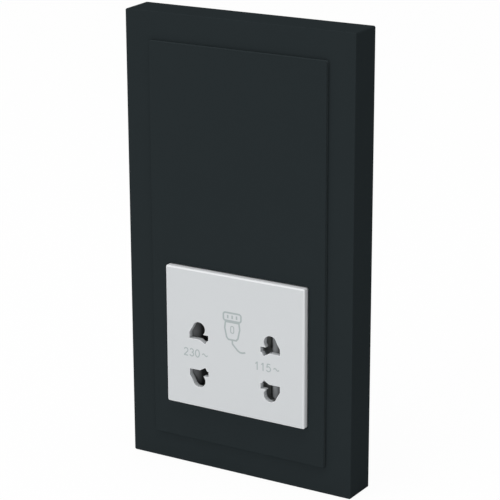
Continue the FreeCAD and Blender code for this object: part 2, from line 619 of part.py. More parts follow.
def make_shutter_spring():
    """Left wave spring, between the rib behind the face and the shutter's lug."""
    high = Y_SHUTTER + SLIDE_GAP + SPRING_STRIP
    low = Y_RAMP_LOW - SLIDE_GAP - SPRING_STRIP
    step = (SPRING_IN - SPRING_OUT) / SPRING_WAVES
    line = [FreeCAD.Vector(at_u(SPRING_OUT), low, OUTLET_Z - SPRING_W / 2)]
    for number in range(SPRING_WAVES):
        y = high if number % 2 == 0 else low
        line.append(FreeCAD.Vector(at_u(SPRING_OUT + step * (number + 0.5)), y, OUTLET_Z - SPRING_W / 2))
    line.append(FreeCAD.Vector(at_u(SPRING_IN), (high + low) / 2, OUTLET_Z - SPRING_W / 2))
    return bent_strip(line, SPRING_STRIP, FreeCAD.Vector(0, 0, SPRING_W))


def make_switch():
    """Left plug switch: a small sealed snap switch with three solder tabs."""
    body = u_box((SWITCH_FROM, SWITCH_TO), (Y_SWITCH, Y_SWITCH + SWITCH_H), (-SWITCH_T / 2, SWITCH_T / 2))
    slot_w = PLUNGER_W + 2 * PLUNGER_SLACK
    slot = centred_box(slot_w, slot_w, (Y_SWITCH, Y_SWITCH + SWITCH_H / 2), at_u(PLUNGER_U), OUTLET_Z)
    y_tab = (Y_SWITCH + SWITCH_H, Y_SWITCH + SWITCH_H + SWITCH_TAB_L)
    tabs = []
    for share in (1 / 6, 1 / 2, 5 / 6):
        u = SWITCH_FROM + share * SWITCH_L
        tabs.append(u_box((u - SWITCH_TAB_T / 2, u + SWITCH_TAB_T / 2), y_tab, (-SWITCH_TAB_W / 2, SWITCH_TAB_W / 2)))
    return body.cut(slot).multiFuse(tabs).removeSplitter()


def make_plunger():
    """Left switch plunger, with its blunt tip on the shutter's cam."""
    tip = cam_y(PLUNGER_U) + CAM_GAP
    end = Y_SWITCH + SWITCH_H / 2 - PLUNGER_TRAVEL - PLUNGER_SLACK
    half = PLUNGER_W / 2
    section = [(-half, end), (-half, tip + half), (-half / 2, tip), (half / 2, tip), (half, tip + half), (half, end)]
    points = [(at_u(PLUNGER_U + u), y) for u, y in section]
    return profile_along_z(points, (OUTLET_Z - half, OUTLET_Z + half))


# Support frame and rear housing

def make_support_frame():
    width = FRAME_W - 2 * (FRAME_WALL + SUPPORT_MARGIN)
    height = FRAME_H - 2 * (FRAME_WALL + SUPPORT_MARGIN)
    plate = rounded_block(width, height, SUPPORT_CORNER_R, (Y_SUPPORT, 0.0))
    cuts = [centred_box(WINDOW_W, WINDOW_H, (Y_SUPPORT, 0.0))]
    for side in (-1, 1):
        cuts.append(rod(FIX_HOLE_R, (Y_SUPPORT, 0.0), 0.0, side * FIX_PITCH / 2))
        for x_side in (-1, 1):
            x = x_side * SUPPORT_SLOT_X
            z = side * FIX_PITCH / 2
            cuts.append(centred_box(SUPPORT_SLOT_L, SUPPORT_SLOT_W, (Y_SUPPORT, 0.0), x, z))
    return plate.cut(cuts).removeSplitter()


def make_rear_housing():
    base = rounded_block(HOUSING_W, HOUSING_H, HOUSING_CORNER_R, (0.0, HOUSING_D))
    bulge = rounded_block(BULGE_W, BULGE_H, HOUSING_CORNER_R, (0.0, BULGE_D), TRANSFORMER_Z)
    ear_bosses = []
    ear_pilots = []
    for side in (-1, 1):
        x = side * EAR_SCREW_X
        y_boss = (0.0, Y_HOUSING_FLOOR + EAR_GRIP + BOSS_END)
        ear_bosses.append(centred_box(2 * EAR_BOSS_HALF, 2 * EAR_BOSS_HALF, y_boss, x, TRANSFORMER_Z))
        y_pilot = (Y_HOUSING_FLOOR, Y_HOUSING_FLOOR + EAR_GRIP + SCREW_FIT)
        ear_pilots.append(rod(EAR_SCREW_R + SCREW_FIT, y_pilot, x, TRANSFORMER_Z))
    outer = base.multiFuse([bulge] + ear_bosses)
    inside_w = HOUSING_W - 2 * HOUSING_WALL
    inside_h = HOUSING_H - 2 * HOUSING_WALL
    hollow = centred_box(inside_w, inside_h, (0.0, Y_HOUSING_FLOOR))
    well = centred_box(BULGE_IN_W, BULGE_IN_H, (0.0, BULGE_D - HOUSING_WALL), 0.0, TRANSFORMER_Z)
    shell = outer.cut(hollow.fuse(well))
    added = []
    cuts = ear_pilots
    for x, z in four_corners(BOSS_X, BOSS_Z):
        added.append(centred_box(2 * BOSS_HALF, 2 * BOSS_HALF, (0.0, HOUSING_D), x, z))
        cuts.append(rod(SCREW_R + SCREW_FIT, (0.0, HOUSING_D), x, z))
        cuts.append(rod(SCREW_HEAD_R + SCREW_FIT, (HOUSING_D - SCREW_SINK, HOUSING_D), x, z))
    y_post = (TRANSFORMER_Y + CORE_STACK / 2 + FIT_GAP, BULGE_D - HOUSING_WALL)
    for sx, sz in four_corners(1, 1):
        x = (sx * (BULGE_IN_W / 2 - CORE_A + 1), sx * BULGE_IN_W / 2)
        z = (TRANSFORMER_Z + sz * (BULGE_IN_H / 2 - CORE_A), TRANSFORMER_Z + sz * BULGE_IN_H / 2)
        added.append(box(x, y_post, z))
    for number in range(VENT_COUNT):
        z = TRANSFORMER_Z + (number - (VENT_COUNT - 1) / 2) * VENT_PITCH
        cuts.append(centred_box(VENT_L, VENT_W, (BULGE_D - HOUSING_WALL, BULGE_D), 0.0, z))
    for x in TERMINAL_XS:
        cuts.append(centred_box(TERMINAL_TAIL_W + 2 * FIT_GAP, TERMINAL_TAIL_T + 2 * FIT_GAP,
                                (Y_HOUSING_FLOOR, HOUSING_D), x, TERMINAL_Z))
    for side in (-1, 1):
        hole_w = PEG_W + 2 * SCREW_FIT
        cuts.append(centred_box(hole_w, hole_w, (Y_HOUSING_FLOOR, HOUSING_D), side * PEG_X, TERMINAL_Z))
    return shell.multiFuse(added).cut(cuts).removeSplitter()


def make_housing_screws():
    screws = []
    for x, z in four_corners(BOSS_X, BOSS_Z):
        head_y = HOUSING_D - SCREW_SINK
        shank = rod(SCREW_R, (-SCREW_GRIP, head_y), x, z)
        head = rod(SCREW_HEAD_R, (head_y, head_y + SCREW_HEAD_H), x, z)
        screws.append(shank.fuse(head).removeSplitter())
    return Part.makeCompound(screws)


# Transformer

def make_core_e_stack():
    y = (TRANSFORMER_Y - CORE_STACK / 2, TRANSFORMER_Y + CORE_STACK / 2)
    e_height = CORE_H - CORE_A
    block = box((-CORE_W / 2, CORE_W / 2), y, (CORE_BOTTOM, CORE_BOTTOM + e_height))
    windows = []
    for side in (-1, 1):
        windows.append(box((side * CORE_A, side * 2 * CORE_A), y, (CORE_BOTTOM + CORE_A, CORE_BOTTOM + e_height)))
    return block.cut(windows)


def make_core_i_stack():
    y = (TRANSFORMER_Y - CORE_STACK / 2, TRANSFORMER_Y + CORE_STACK / 2)
    return box((-CORE_W / 2, CORE_W / 2), y, (CORE_TOP - CORE_A, CORE_TOP))


def across_core(half_x, half_y, z):
    """Box round the core's middle leg."""
    return box((-half_x, half_x), (TRANSFORMER_Y - half_y, TRANSFORMER_Y + half_y), z)


def chamber(number):
    """Height range of one of the bobbin's two chambers."""
    low = CORE_BOTTOM + CORE_A + FIT_GAP
    high = CORE_TOP - CORE_A - FIT_GAP
    length = (high - low - 3 * BOBBIN_WALL) / 2
    start = low + BOBBIN_WALL + number * (length + BOBBIN_WALL)
    return start, start + length


def make_transformer_bobbin():
    bore_x = CORE_A + BOBBIN_FIT
    bore_y = CORE_STACK / 2 + BOBBIN_FIT
    low = chamber(0)[0] - BOBBIN_WALL
    high = chamber(1)[1] + BOBBIN_WALL
    tube = across_core(bore_x + BOBBIN_WALL, bore_y + BOBBIN_WALL, (low, high))
    flanges = []
    for start in (low, chamber(0)[1], high - BOBBIN_WALL):
        z = (start, start + BOBBIN_WALL)
        flanges.append(across_core(WINDING_HALF_X + FLANGE_OVER, WINDING_HALF_Y + FLANGE_OVER, z))
    return tube.multiFuse(flanges).cut(across_core(bore_x, bore_y, (low, high))).removeSplitter()


def make_winding(number):
    """Winding in one chamber of the bobbin, with round outer corners."""
    z = chamber(number)
    outer = across_core(WINDING_HALF_X, WINDING_HALF_Y, z)
    upright = [e for e in outer.Edges if e.BoundBox.ZLength > (z[1] - z[0]) / 2]
    outer = outer.makeFillet(WINDING_R, upright)
    inner_x = CORE_A + BOBBIN_FIT + BOBBIN_WALL
    inner_y = CORE_STACK / 2 + BOBBIN_FIT + BOBBIN_WALL
    return outer.cut(across_core(inner_x, inner_y, z))


def make_core_clamp():
    half_y = CORE_STACK / 2 - CLAMP_INSET
    y = (TRANSFORMER_Y - half_y, TRANSFORMER_Y + half_y)
    inner = CORE_W / 2
    outer = inner + CLAMP_T
    z = (CORE_BOTTOM - CLAMP_T, CORE_TOP + CLAMP_T)
    core = box((-inner, inner), y, (CORE_BOTTOM, CORE_TOP))
    strap = rounded_block(2 * outer, z[1] - z[0], CLAMP_BEND_R, y, TRANSFORMER_Z).cut(core)
    gap = inner - CLAMP_TAB
    strap = strap.cut(box((-gap, gap), y, (z[0], CORE_BOTTOM)))
    ears = []
    holes = []
    y_ear = (Y_HOUSING_FLOOR - CLAMP_T, Y_HOUSING_FLOOR)
    for side in (-1, 1):
        ear_z = (TRANSFORMER_Z - EAR_H / 2, TRANSFORMER_Z + EAR_H / 2)
        ears.append(box((side * inner, side * EAR_END), y_ear, ear_z))
        holes.append(rod(EAR_SCREW_R + SCREW_FIT, y_ear, side * EAR_SCREW_X, TRANSFORMER_Z))
    return strap.multiFuse(ears).cut(holes).removeSplitter()


def make_clamp_screws():
    screws = []
    y_ear = Y_HOUSING_FLOOR - CLAMP_T
    for side in (-1, 1):
        x = side * EAR_SCREW_X
        shank = rod(EAR_SCREW_R, (y_ear, Y_HOUSING_FLOOR + EAR_GRIP), x, TRANSFORMER_Z)
        head = rod(EAR_HEAD_R, (y_ear - EAR_HEAD_H, y_ear), x, TRANSFORMER_Z)
        screws.append(shank.fuse(head).removeSplitter())
    return Part.makeCompound(screws)


def make_thermal_cutout():
    start, end = chamber(0)
    y = (Y_SUPPORT + FIT_GAP, Y_SUPPORT + FIT_GAP + CUTOUT_T)
    return centred_box(CUTOUT_W, CUTOUT_H, y, 0.0, (start + end) / 2)


# Terminals

def make_terminal_block():
    body = box((-BLOCK_HALF_X, BLOCK_HALF_X), (HOUSING_D, BLOCK_END_Y), (CHAMBER_FLOOR - TERMINAL_WALL, BLOCK_TOP))
    pegs = []
    for side in (-1, 1):
        pegs.append(centred_box(PEG_W, PEG_W, (HOUSING_D - PEG_L, HOUSING_D), side * PEG_X, TERMINAL_Z))
    cuts = []
    for x in TERMINAL_XS:
        y_chamber = (TERMINAL_Y, BLOCK_END_Y - TERMINAL_WALL)
        cuts.append(box((x - CHAMBER_W / 2, x + CHAMBER_W / 2), y_chamber, (CHAMBER_FLOOR, BLOCK_TOP)))
        cuts.append(upright_rod(WIRE_FUNNEL_R, (CHAMBER_FLOOR - TERMINAL_WALL, CHAMBER_FLOOR), x, WIRE_Y))
        cuts.append(rod(TERMINAL_HEAD_R + FIT_GAP, (BLOCK_END_Y - TERMINAL_WALL, BLOCK_END_Y), x, TERMINAL_Z))
        tail = (TERMINAL_TAIL_W + 2 * FIT_GAP, TERMINAL_TAIL_T + 2 * FIT_GAP)
        cuts.append(centred_box(tail[0], tail[1], (HOUSING_D, TERMINAL_Y), x, TERMINAL_Z))
    return body.multiFuse(pegs).cut(cuts).removeSplitter()


def make_terminal(x):
    """Brass terminal: a cage with the wire bore, the screw's thread and a tail into the housing."""
    y = (TERMINAL_Y + FIT_GAP, TERMINAL_Y + FIT_GAP + TERMINAL_D)
    cage = centred_box(TERMINAL_W, TERMINAL_H, y, x, TERMINAL_Z)
    tail = centred_box(TERMINAL_TAIL_W, TERMINAL_TAIL_T, (y[0] - TERMINAL_TAIL_L, y[0]), x, TERMINAL_Z)
    wire = upright_rod(WIRE_R, (TERMINAL_Z - TERMINAL_H / 2, TERMINAL_Z + TERMINAL_H / 2), x, WIRE_Y)
    thread = rod(TERMINAL_SCREW_R + SCREW_FIT, (WIRE_Y, y[1]), x, TERMINAL_Z)
    return cage.fuse(tail).cut([wire, thread]).removeSplitter()


def make_terminal_screws():
    screws = []
    y_head = TERMINAL_Y + FIT_GAP + TERMINAL_D + FIT_GAP
    for x in TERMINAL_XS:
        shank = rod(TERMINAL_SCREW_R, (WIRE_Y + WIRE_R + FIT_GAP, y_head), x, TERMINAL_Z)
        head = rod(TERMINAL_HEAD_R, (y_head, y_head + TERMINAL_HEAD_H), x, TERMINAL_Z)
        screws.append(shank.fuse(head).removeSplitter())
    return Part.makeCompound(screws)


# All pieces by name, left ones mirrored for the right outlet

def make_pieces():
    contact = make_contact()
    shutter = make_shutter()
    spring = make_shutter_spring()
    switch = make_switch()
    plunger = make_plunger()
    return {
        "cover_frame": make_cover_frame(),
        "insert_plate": make_insert_plate(),
        "socket_face": make_socket_face(),
        "contact_carrier": make_contact_carrier(),
        "shutter_230v": shutter,
        "shutter_115v": mirrored_x(shutter),
        "shutter_spring_230v": spring,
        "shutter_spring_115v": mirrored_x(spring),
        "switch_230v": switch,
        "switch_115v": mirrored_x(switch),
        "plunger_230v": plunger,
        "plunger_115v": mirrored_x(plunger),
        "contact_230v_upper": contact,
        "contact_230v_lower": mirrored_w(contact),
        "contact_115v_upper": mirrored_x(contact),
        "contact_115v_lower": mirrored_x(mirrored_w(contact)),
        "support_frame": make_support_frame(),
        "rear_housing": make_rear_housing(),
        "housing_screws": make_housing_screws(),
        "core_e_stack": make_core_e_stack(),
        "core_i_stack": make_core_i_stack(),
        "transformer_bobbin": make_transformer_bobbin(),
        "primary_winding": make_winding(0),
        "secondary_winding": make_winding(1),
        "core_clamp": make_core_clamp(),
        "clamp_screws": make_clamp_screws(),
        "thermal_cutout": make_thermal_cutout(),
        "terminal_block": make_terminal_block(),
        "terminal_live": make_terminal(TERMINAL_XS[0]),
        "terminal_neutral": make_terminal(TERMINAL_XS[1]),
        "terminal_earth": make_terminal(TERMINAL_XS[2]),
        "terminal_screws": make_terminal_screws(),
    }


os.makedirs("parts", exist_ok=True)
for name, shape in make_pieces().items():
    shape.exportStep("parts/" + name + ".step")
    state = "valid" if shape.isValid() else "NOT VALID"
    print(name, len(shape.Solids), "solid(s)", round(shape.Volume, 1), "mm3", state)
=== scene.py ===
# %% [markdown]
# # A shaver socket, dressed in Blender
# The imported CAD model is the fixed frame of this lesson. It is loaded first and it never moves. Everything
# made below is in metres in that same frame: the wall is the plane y = 0, the front looks along -Y, +X is
# right and +Z is up, as the user sees it.

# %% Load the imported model
import json
import math

import bmesh
import bpy
from mathutils import Matrix, Vector
from mathutils.geometry import intersect_line_line_2d, intersect_line_sphere_2d

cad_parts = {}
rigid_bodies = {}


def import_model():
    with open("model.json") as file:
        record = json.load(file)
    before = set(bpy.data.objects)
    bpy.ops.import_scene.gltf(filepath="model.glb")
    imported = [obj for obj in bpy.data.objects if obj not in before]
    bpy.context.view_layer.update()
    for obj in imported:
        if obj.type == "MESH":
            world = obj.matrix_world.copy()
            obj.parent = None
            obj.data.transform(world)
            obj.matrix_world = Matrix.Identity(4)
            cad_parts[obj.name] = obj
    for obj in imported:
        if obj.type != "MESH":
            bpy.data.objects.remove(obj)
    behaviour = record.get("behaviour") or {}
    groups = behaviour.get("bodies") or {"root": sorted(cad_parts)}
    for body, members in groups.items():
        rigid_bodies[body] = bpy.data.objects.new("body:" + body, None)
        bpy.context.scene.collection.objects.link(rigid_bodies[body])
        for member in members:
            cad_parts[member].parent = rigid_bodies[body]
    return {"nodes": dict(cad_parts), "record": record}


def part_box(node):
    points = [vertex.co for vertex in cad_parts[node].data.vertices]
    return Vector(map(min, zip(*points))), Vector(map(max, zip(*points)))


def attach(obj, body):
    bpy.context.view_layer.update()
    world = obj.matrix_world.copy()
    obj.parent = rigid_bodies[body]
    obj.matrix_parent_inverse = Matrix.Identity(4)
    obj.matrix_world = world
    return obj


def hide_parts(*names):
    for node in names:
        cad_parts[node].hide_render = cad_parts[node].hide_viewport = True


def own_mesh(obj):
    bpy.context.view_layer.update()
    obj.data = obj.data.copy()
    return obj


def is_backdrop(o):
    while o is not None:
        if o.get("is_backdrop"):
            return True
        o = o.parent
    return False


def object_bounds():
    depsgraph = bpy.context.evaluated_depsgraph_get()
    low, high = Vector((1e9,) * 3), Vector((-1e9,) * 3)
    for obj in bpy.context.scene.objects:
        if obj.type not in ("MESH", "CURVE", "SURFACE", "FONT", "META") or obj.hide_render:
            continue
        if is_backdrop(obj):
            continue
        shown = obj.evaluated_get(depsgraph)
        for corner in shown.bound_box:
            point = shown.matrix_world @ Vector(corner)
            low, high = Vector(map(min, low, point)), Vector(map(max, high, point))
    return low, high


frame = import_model()
cad_low, cad_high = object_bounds()
scene = bpy.context.scene
MM = 0.001
print("nodes:", len(frame["nodes"]), "size in mm:", [round(side / MM, 1) for side in cad_high - cad_low])

# %% [markdown]
# ## The camera
# A camera can be guessed by eye, or solved from points whose place on the object is known. Here the corners
# of the frame, the centre plate and the outlet face were matched, which gives the turn, the height, the
# distance and the lens.

# %% Camera
IMAGE_PIXELS = 500
FOCAL_PIXELS = 1989.4
AZIMUTH = math.radians(30.548)
ELEVATION = math.radians(17.364)
ROLL = math.radians(-0.195)
DISTANCE = 0.668524
AIM = Vector((-0.002872, 0.0, -0.002132))
SENSOR_W = 36.0
CLIP_START = 0.01

level_part = math.cos(ELEVATION)
back = Vector((math.sin(AZIMUTH) * level_part, -math.cos(AZIMUTH) * level_part, math.sin(ELEVATION)))
level_right = Vector((math.cos(AZIMUTH), math.sin(AZIMUTH), 0.0))
level_up = back.cross(level_right)
right = level_right * math.cos(ROLL) + level_up * math.sin(ROLL)
up = level_up * math.cos(ROLL) - level_right * math.sin(ROLL)
camera = bpy.data.objects.new("camera", bpy.data.cameras.new("camera"))
scene.collection.objects.link(camera)
camera.data.sensor_width = SENSOR_W
camera.data.lens = FOCAL_PIXELS / IMAGE_PIXELS * SENSOR_W
camera.data.clip_start = CLIP_START
turn = Matrix((right, up, back)).transposed().to_4x4()
camera.matrix_world = Matrix.Translation(AIM + back * DISTANCE) @ turn
scene.camera = camera
print("camera at", [round(part, 4) for part in camera.location], "lens", round(camera.data.lens, 2))

# %% [markdown]
# ## Floor, world and lamps
# The object stands on its lower edge on a white floor, with a white world behind it. Light Path keeps the
# background white for the camera and in reflections, while the light that falls on the object stays at a
# plain level.


# %% Links in a node tree
def connect(tree, *links):
    """Links in a node tree, each given as a node, its output, the next node and its input."""
    for source, output, receiver, entry in links:
        tree.links.new(source.outputs[output], receiver.inputs[entry])


def seen_directly(tree):
    """Node whose output 0 is 1 for camera, glossy and transmission rays."""
    rays = tree.nodes.new("ShaderNodeLightPath")
    first_two = tree.nodes.new("ShaderNodeMath")
    first_two.operation = "MAXIMUM"
    all_three = tree.nodes.new("ShaderNodeMath")
    all_three.operation = "MAXIMUM"
    connect(tree, (rays, "Is Camera Ray", first_two, 0), (rays, "Is Glossy Ray", first_two, 1),
            (first_two, 0, all_three, 0), (rays, "Is Transmission Ray", all_three, 1))
    return all_three


print("helpers:", connect.__name__, seen_directly.__name__)

# %% White world
AMBIENT = 0.41
WHITE = (1.0, 1.0, 1.0, 1.0)

world = bpy.data.worlds.new("white_room")
scene.world = world
world.use_nodes = True
tree = world.node_tree
background = tree.nodes["Background"]
background.inputs["Color"].default_value = WHITE
strength = tree.nodes.new("ShaderNodeMapRange")
strength.inputs["To Min"].default_value = AMBIENT
strength.inputs["To Max"].default_value = 1.0
connect(tree, (seen_directly(tree), 0, strength, "Value"), (strength, "Result", background, "Strength"))
print("world ambient", AMBIENT)

# %% White floor that keeps a soft shadow
FLOOR_SIZE = 6.0
FLOOR_DROP = 0.0002
FLOOR_GLOW = 0.96
FLOOR_TONE = (0.94, 0.94, 0.94, 1.0)
FLOOR_ROUGHNESS = 0.9

half = FLOOR_SIZE / 2
floor_z = cad_low.z - FLOOR_DROP
corners = [(-half, -half, floor_z), (half, -half, floor_z), (half, half, floor_z), (-half, half, floor_z)]
floor_mesh = bpy.data.meshes.new("floor")
floor_mesh.from_pydata(corners, [], [(0, 1, 2, 3)])
floor = bpy.data.objects.new("floor", floor_mesh)
scene.collection.objects.link(floor)
floor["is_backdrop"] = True
floor_paint = bpy.data.materials.new("floor_paint")
floor_paint.use_nodes = True
tree = floor_paint.node_tree
lit = tree.nodes["Principled BSDF"]
lit.inputs["Base Color"].default_value = FLOOR_TONE
lit.inputs["Roughness"].default_value = FLOOR_ROUGHNESS
lit.inputs["Specular IOR Level"].default_value = 0.0
glow = tree.nodes.new("ShaderNodeEmission")
glow_share = tree.nodes.new("ShaderNodeMath")
glow_share.operation = "MULTIPLY"
glow_share.inputs[1].default_value = FLOOR_GLOW
lit_or_glow = tree.nodes.new("ShaderNodeMixShader")
connect(tree, (seen_directly(tree), 0, glow_share, 0), (glow_share, 0, lit_or_glow, "Fac"),
        (lit, "BSDF", lit_or_glow, 1), (glow, "Emission", lit_or_glow, 2),
        (lit_or_glow, "Shader", tree.nodes["Material Output"], "Surface"))
floor_mesh.materials.append(floor_paint)
print("floor at z", round(floor_z, 4))

# %% Soft lamps
# Place and size in metres, and power in watts
LAMPS = {
    "key": ((-0.6, -2.05, 0.85), 1.3, 18.4),
    "top": ((0.0, -0.35, 2.4), 1.6, 29.0),
}
for name, (place, size, power) in LAMPS.items():
    light = bpy.data.lights.new(name, "AREA")
    light.size = size
    light.energy = power
    lamp = bpy.data.objects.new(name, light)
    lamp.location = place
    lamp.rotation_mode = "QUATERNION"
    lamp.rotation_quaternion = (-Vector(place)).to_track_quat("-Z", "Y")
    scene.collection.objects.link(lamp)
scene.view_settings.view_transform = "Standard"
print("lamps:", list(LAMPS))

# %% [markdown]
# ## Finishes
# Real mouldings are never one flat colour. Two small node groups are shared by all plastics and metals: one
# lets the tone drift slightly over the surface, the other gives the fine grain of a spark-eroded mould or
# of rolled sheet. A third paints shade on the two shutters: it darkens each ramp towards one end, as the
# shade inside an outlet would. Three finishes are lighter copies of others and carry painted light. A group
# only hands out colours, values and heights. The Principled shader itself stays in each material.


# %% Node group for a drifting tone
def new_group(name, inputs, outputs):
    """Empty shader node group with its sockets, plus its input and output nodes."""
    group = bpy.data.node_groups.new(name, "ShaderNodeTree")
    for label, kind, value in inputs:
        socket = group.interface.new_socket(label, in_out="INPUT", socket_type=kind)
        socket.default_value = value
    for label, kind in outputs:
        group.interface.new_socket(label, in_out="OUTPUT", socket_type=kind)
    return group, group.nodes.new("NodeGroupInput"), group.nodes.new("NodeGroupOutput")


PATCH_DETAIL = 3.0
SPECK_DETAIL = 1.0
SPECK_SHARE = 0.35
ROUGHNESS_DRIFT = 0.05

tone_group, tone_in, tone_out = new_group(
    "drifting_tone",
    [("Dark", "NodeSocketColor", WHITE), ("Light", "NodeSocketColor", WHITE),
     ("Patches", "NodeSocketFloat", 60.0), ("Specks", "NodeSocketFloat", 2500.0)],
    [("Color", "NodeSocketColor"), ("Roughness Shift", "NodeSocketFloat")])
coordinates = tone_group.nodes.new("ShaderNodeTexCoord")
patches = tone_group.nodes.new("ShaderNodeTexNoise")
specks = tone_group.nodes.new("ShaderNodeTexNoise")
patches.inputs["Detail"].default_value = PATCH_DETAIL
specks.inputs["Detail"].default_value = SPECK_DETAIL
both = tone_group.nodes.new("ShaderNodeMath")
both.operation = "MULTIPLY_ADD"
both.inputs[1].default_value = SPECK_SHARE
tint = tone_group.nodes.new("ShaderNodeMix")
tint.data_type = "RGBA"
rough = tone_group.nodes.new("ShaderNodeMapRange")
rough.inputs["To Min"].default_value = -ROUGHNESS_DRIFT
rough.inputs["To Max"].default_value = ROUGHNESS_DRIFT
for texture, label in ((patches, "Patches"), (specks, "Specks")):
    connect(tone_group, (coordinates, "Object", texture, "Vector"), (tone_in, label, texture, "Scale"))
connect(tone_group, (specks, "Fac", both, 0), (patches, "Fac", both, 2), (both, 0, tint, "Factor"),
        (tone_in, "Dark", tint, "A"), (tone_in, "Light", tint, "B"), (tint, "Result", tone_out, "Color"),
        (patches, "Fac", rough, "Value"), (rough, "Result", tone_out, "Roughness Shift"))
print("node group:", tone_group.name)

# %% Node group for mould grain or rolling marks
GRAIN_DETAIL = 4.0
GRAIN_ROUGHNESS = 0.6

grain_group, grain_in, grain_out = new_group(
    "surface_grain",
    [("Stretch", "NodeSocketVector", (1.0, 1.0, 1.0)), ("Scale", "NodeSocketFloat", 3500.0)],
    [("Height", "NodeSocketFloat")])
coordinates = grain_group.nodes.new("ShaderNodeTexCoord")
stretched = grain_group.nodes.new("ShaderNodeVectorMath")
stretched.operation = "MULTIPLY"
grain = grain_group.nodes.new("ShaderNodeTexNoise")
grain.inputs["Detail"].default_value = GRAIN_DETAIL
grain.inputs["Roughness"].default_value = GRAIN_ROUGHNESS
connect(grain_group, (coordinates, "Object", stretched, 0), (grain_in, "Stretch", stretched, 1),
        (stretched, "Vector", grain, "Vector"), (grain_in, "Scale", grain, "Scale"),
        (grain, "Fac", grain_out, "Height"))
print("node group:", grain_group.name)

# %% Node group for painted shade that darkens a tone along x
painted_shade_group, painted_shade_in, painted_shade_out = new_group(
    "darker_along_x",
    [("Color", "NodeSocketColor", WHITE), ("Start", "NodeSocketFloat", 0.0), ("End", "NodeSocketFloat", 1.0),
     ("End Share", "NodeSocketFloat", 1.0)],
    [("Color", "NodeSocketColor")])
coordinates = painted_shade_group.nodes.new("ShaderNodeTexCoord")
place = painted_shade_group.nodes.new("ShaderNodeSeparateXYZ")
kept_share = painted_shade_group.nodes.new("ShaderNodeMapRange")
kept_share.inputs["To Min"].default_value = 1.0
darker = painted_shade_group.nodes.new("ShaderNodeVectorMath")
darker.operation = "SCALE"
connect(painted_shade_group, (coordinates, "Object", place, "Vector"), (place, "X", kept_share, "Value"),
        (painted_shade_in, "Start", kept_share, "From Min"), (painted_shade_in, "End", kept_share, "From Max"),
        (painted_shade_in, "End Share", kept_share, "To Max"), (painted_shade_in, "Color", darker, 0),
        (kept_share, "Result", darker, "Scale"), (darker, "Vector", painted_shade_out, "Color"))
print("node group:", painted_shade_group.name)


# %% A finish made from the groups
BUMP_STRENGTH = 0.6


def linear(red, green, blue):
    """Linear colour from screen values of 0 to 255."""
    parts = []
    for value in (red, green, blue):
        share = value / 255
        parts.append(share / 12.92 if share <= 0.04045 else ((share + 0.055) / 1.055) ** 2.4)
    return (*parts, 1.0)


def finish(name, colour, drift=0.04, roughness=0.5, metallic=0.0, specular=0.5, grain=0.006, scale=6000.0,
           stretch=(1.0, 1.0, 1.0), painted_shade=None):
    """Material with a drifting tone and a grain, whose height is in millimetres.

    The last argument paints shade: the x where the tone starts to darken, the x where that ends, and the
    share that is left there.
    """
    material = bpy.data.materials.new(name)
    material.use_nodes = True
    tree = material.node_tree
    shader = tree.nodes["Principled BSDF"]
    shader.inputs["Metallic"].default_value = metallic
    shader.inputs["Specular IOR Level"].default_value = specular
    tone = tree.nodes.new("ShaderNodeGroup")
    tone.node_tree = tone_group
    tone.inputs["Dark"].default_value = (*[part * (1 - drift) for part in colour[:3]], 1.0)
    tone.inputs["Light"].default_value = (*[min(part * (1 + drift), 1.0) for part in colour[:3]], 1.0)
    coloured = tone
    # Painted shade: the tone darkens along x, as if the surface lay in shadow
    if painted_shade:
        start, end, end_share = painted_shade
        coloured = tree.nodes.new("ShaderNodeGroup")
        coloured.node_tree = painted_shade_group
        coloured.inputs["Start"].default_value = start * MM
        coloured.inputs["End"].default_value = end * MM
        coloured.inputs["End Share"].default_value = end_share
        connect(tree, (tone, "Color", coloured, "Color"))
    level = tree.nodes.new("ShaderNodeMath")
    level.operation = "ADD"
    level.inputs[1].default_value = roughness
    texture = tree.nodes.new("ShaderNodeGroup")
    texture.node_tree = grain_group
    texture.inputs["Scale"].default_value = scale
    texture.inputs["Stretch"].default_value = stretch
    bump = tree.nodes.new("ShaderNodeBump")
    bump.inputs["Strength"].default_value = BUMP_STRENGTH
    bump.inputs["Distance"].default_value = grain * MM
    connect(tree, (coloured, "Color", shader, "Base Color"), (tone, "Roughness Shift", level, 0),
            (level, 0, shader, "Roughness"), (texture, "Height", bump, "Height"),
            (bump, "Normal", shader, "Normal"))
    return material


print("a screen grey of 128 is", round(linear(128, 128, 128)[0], 3), "in linear light")

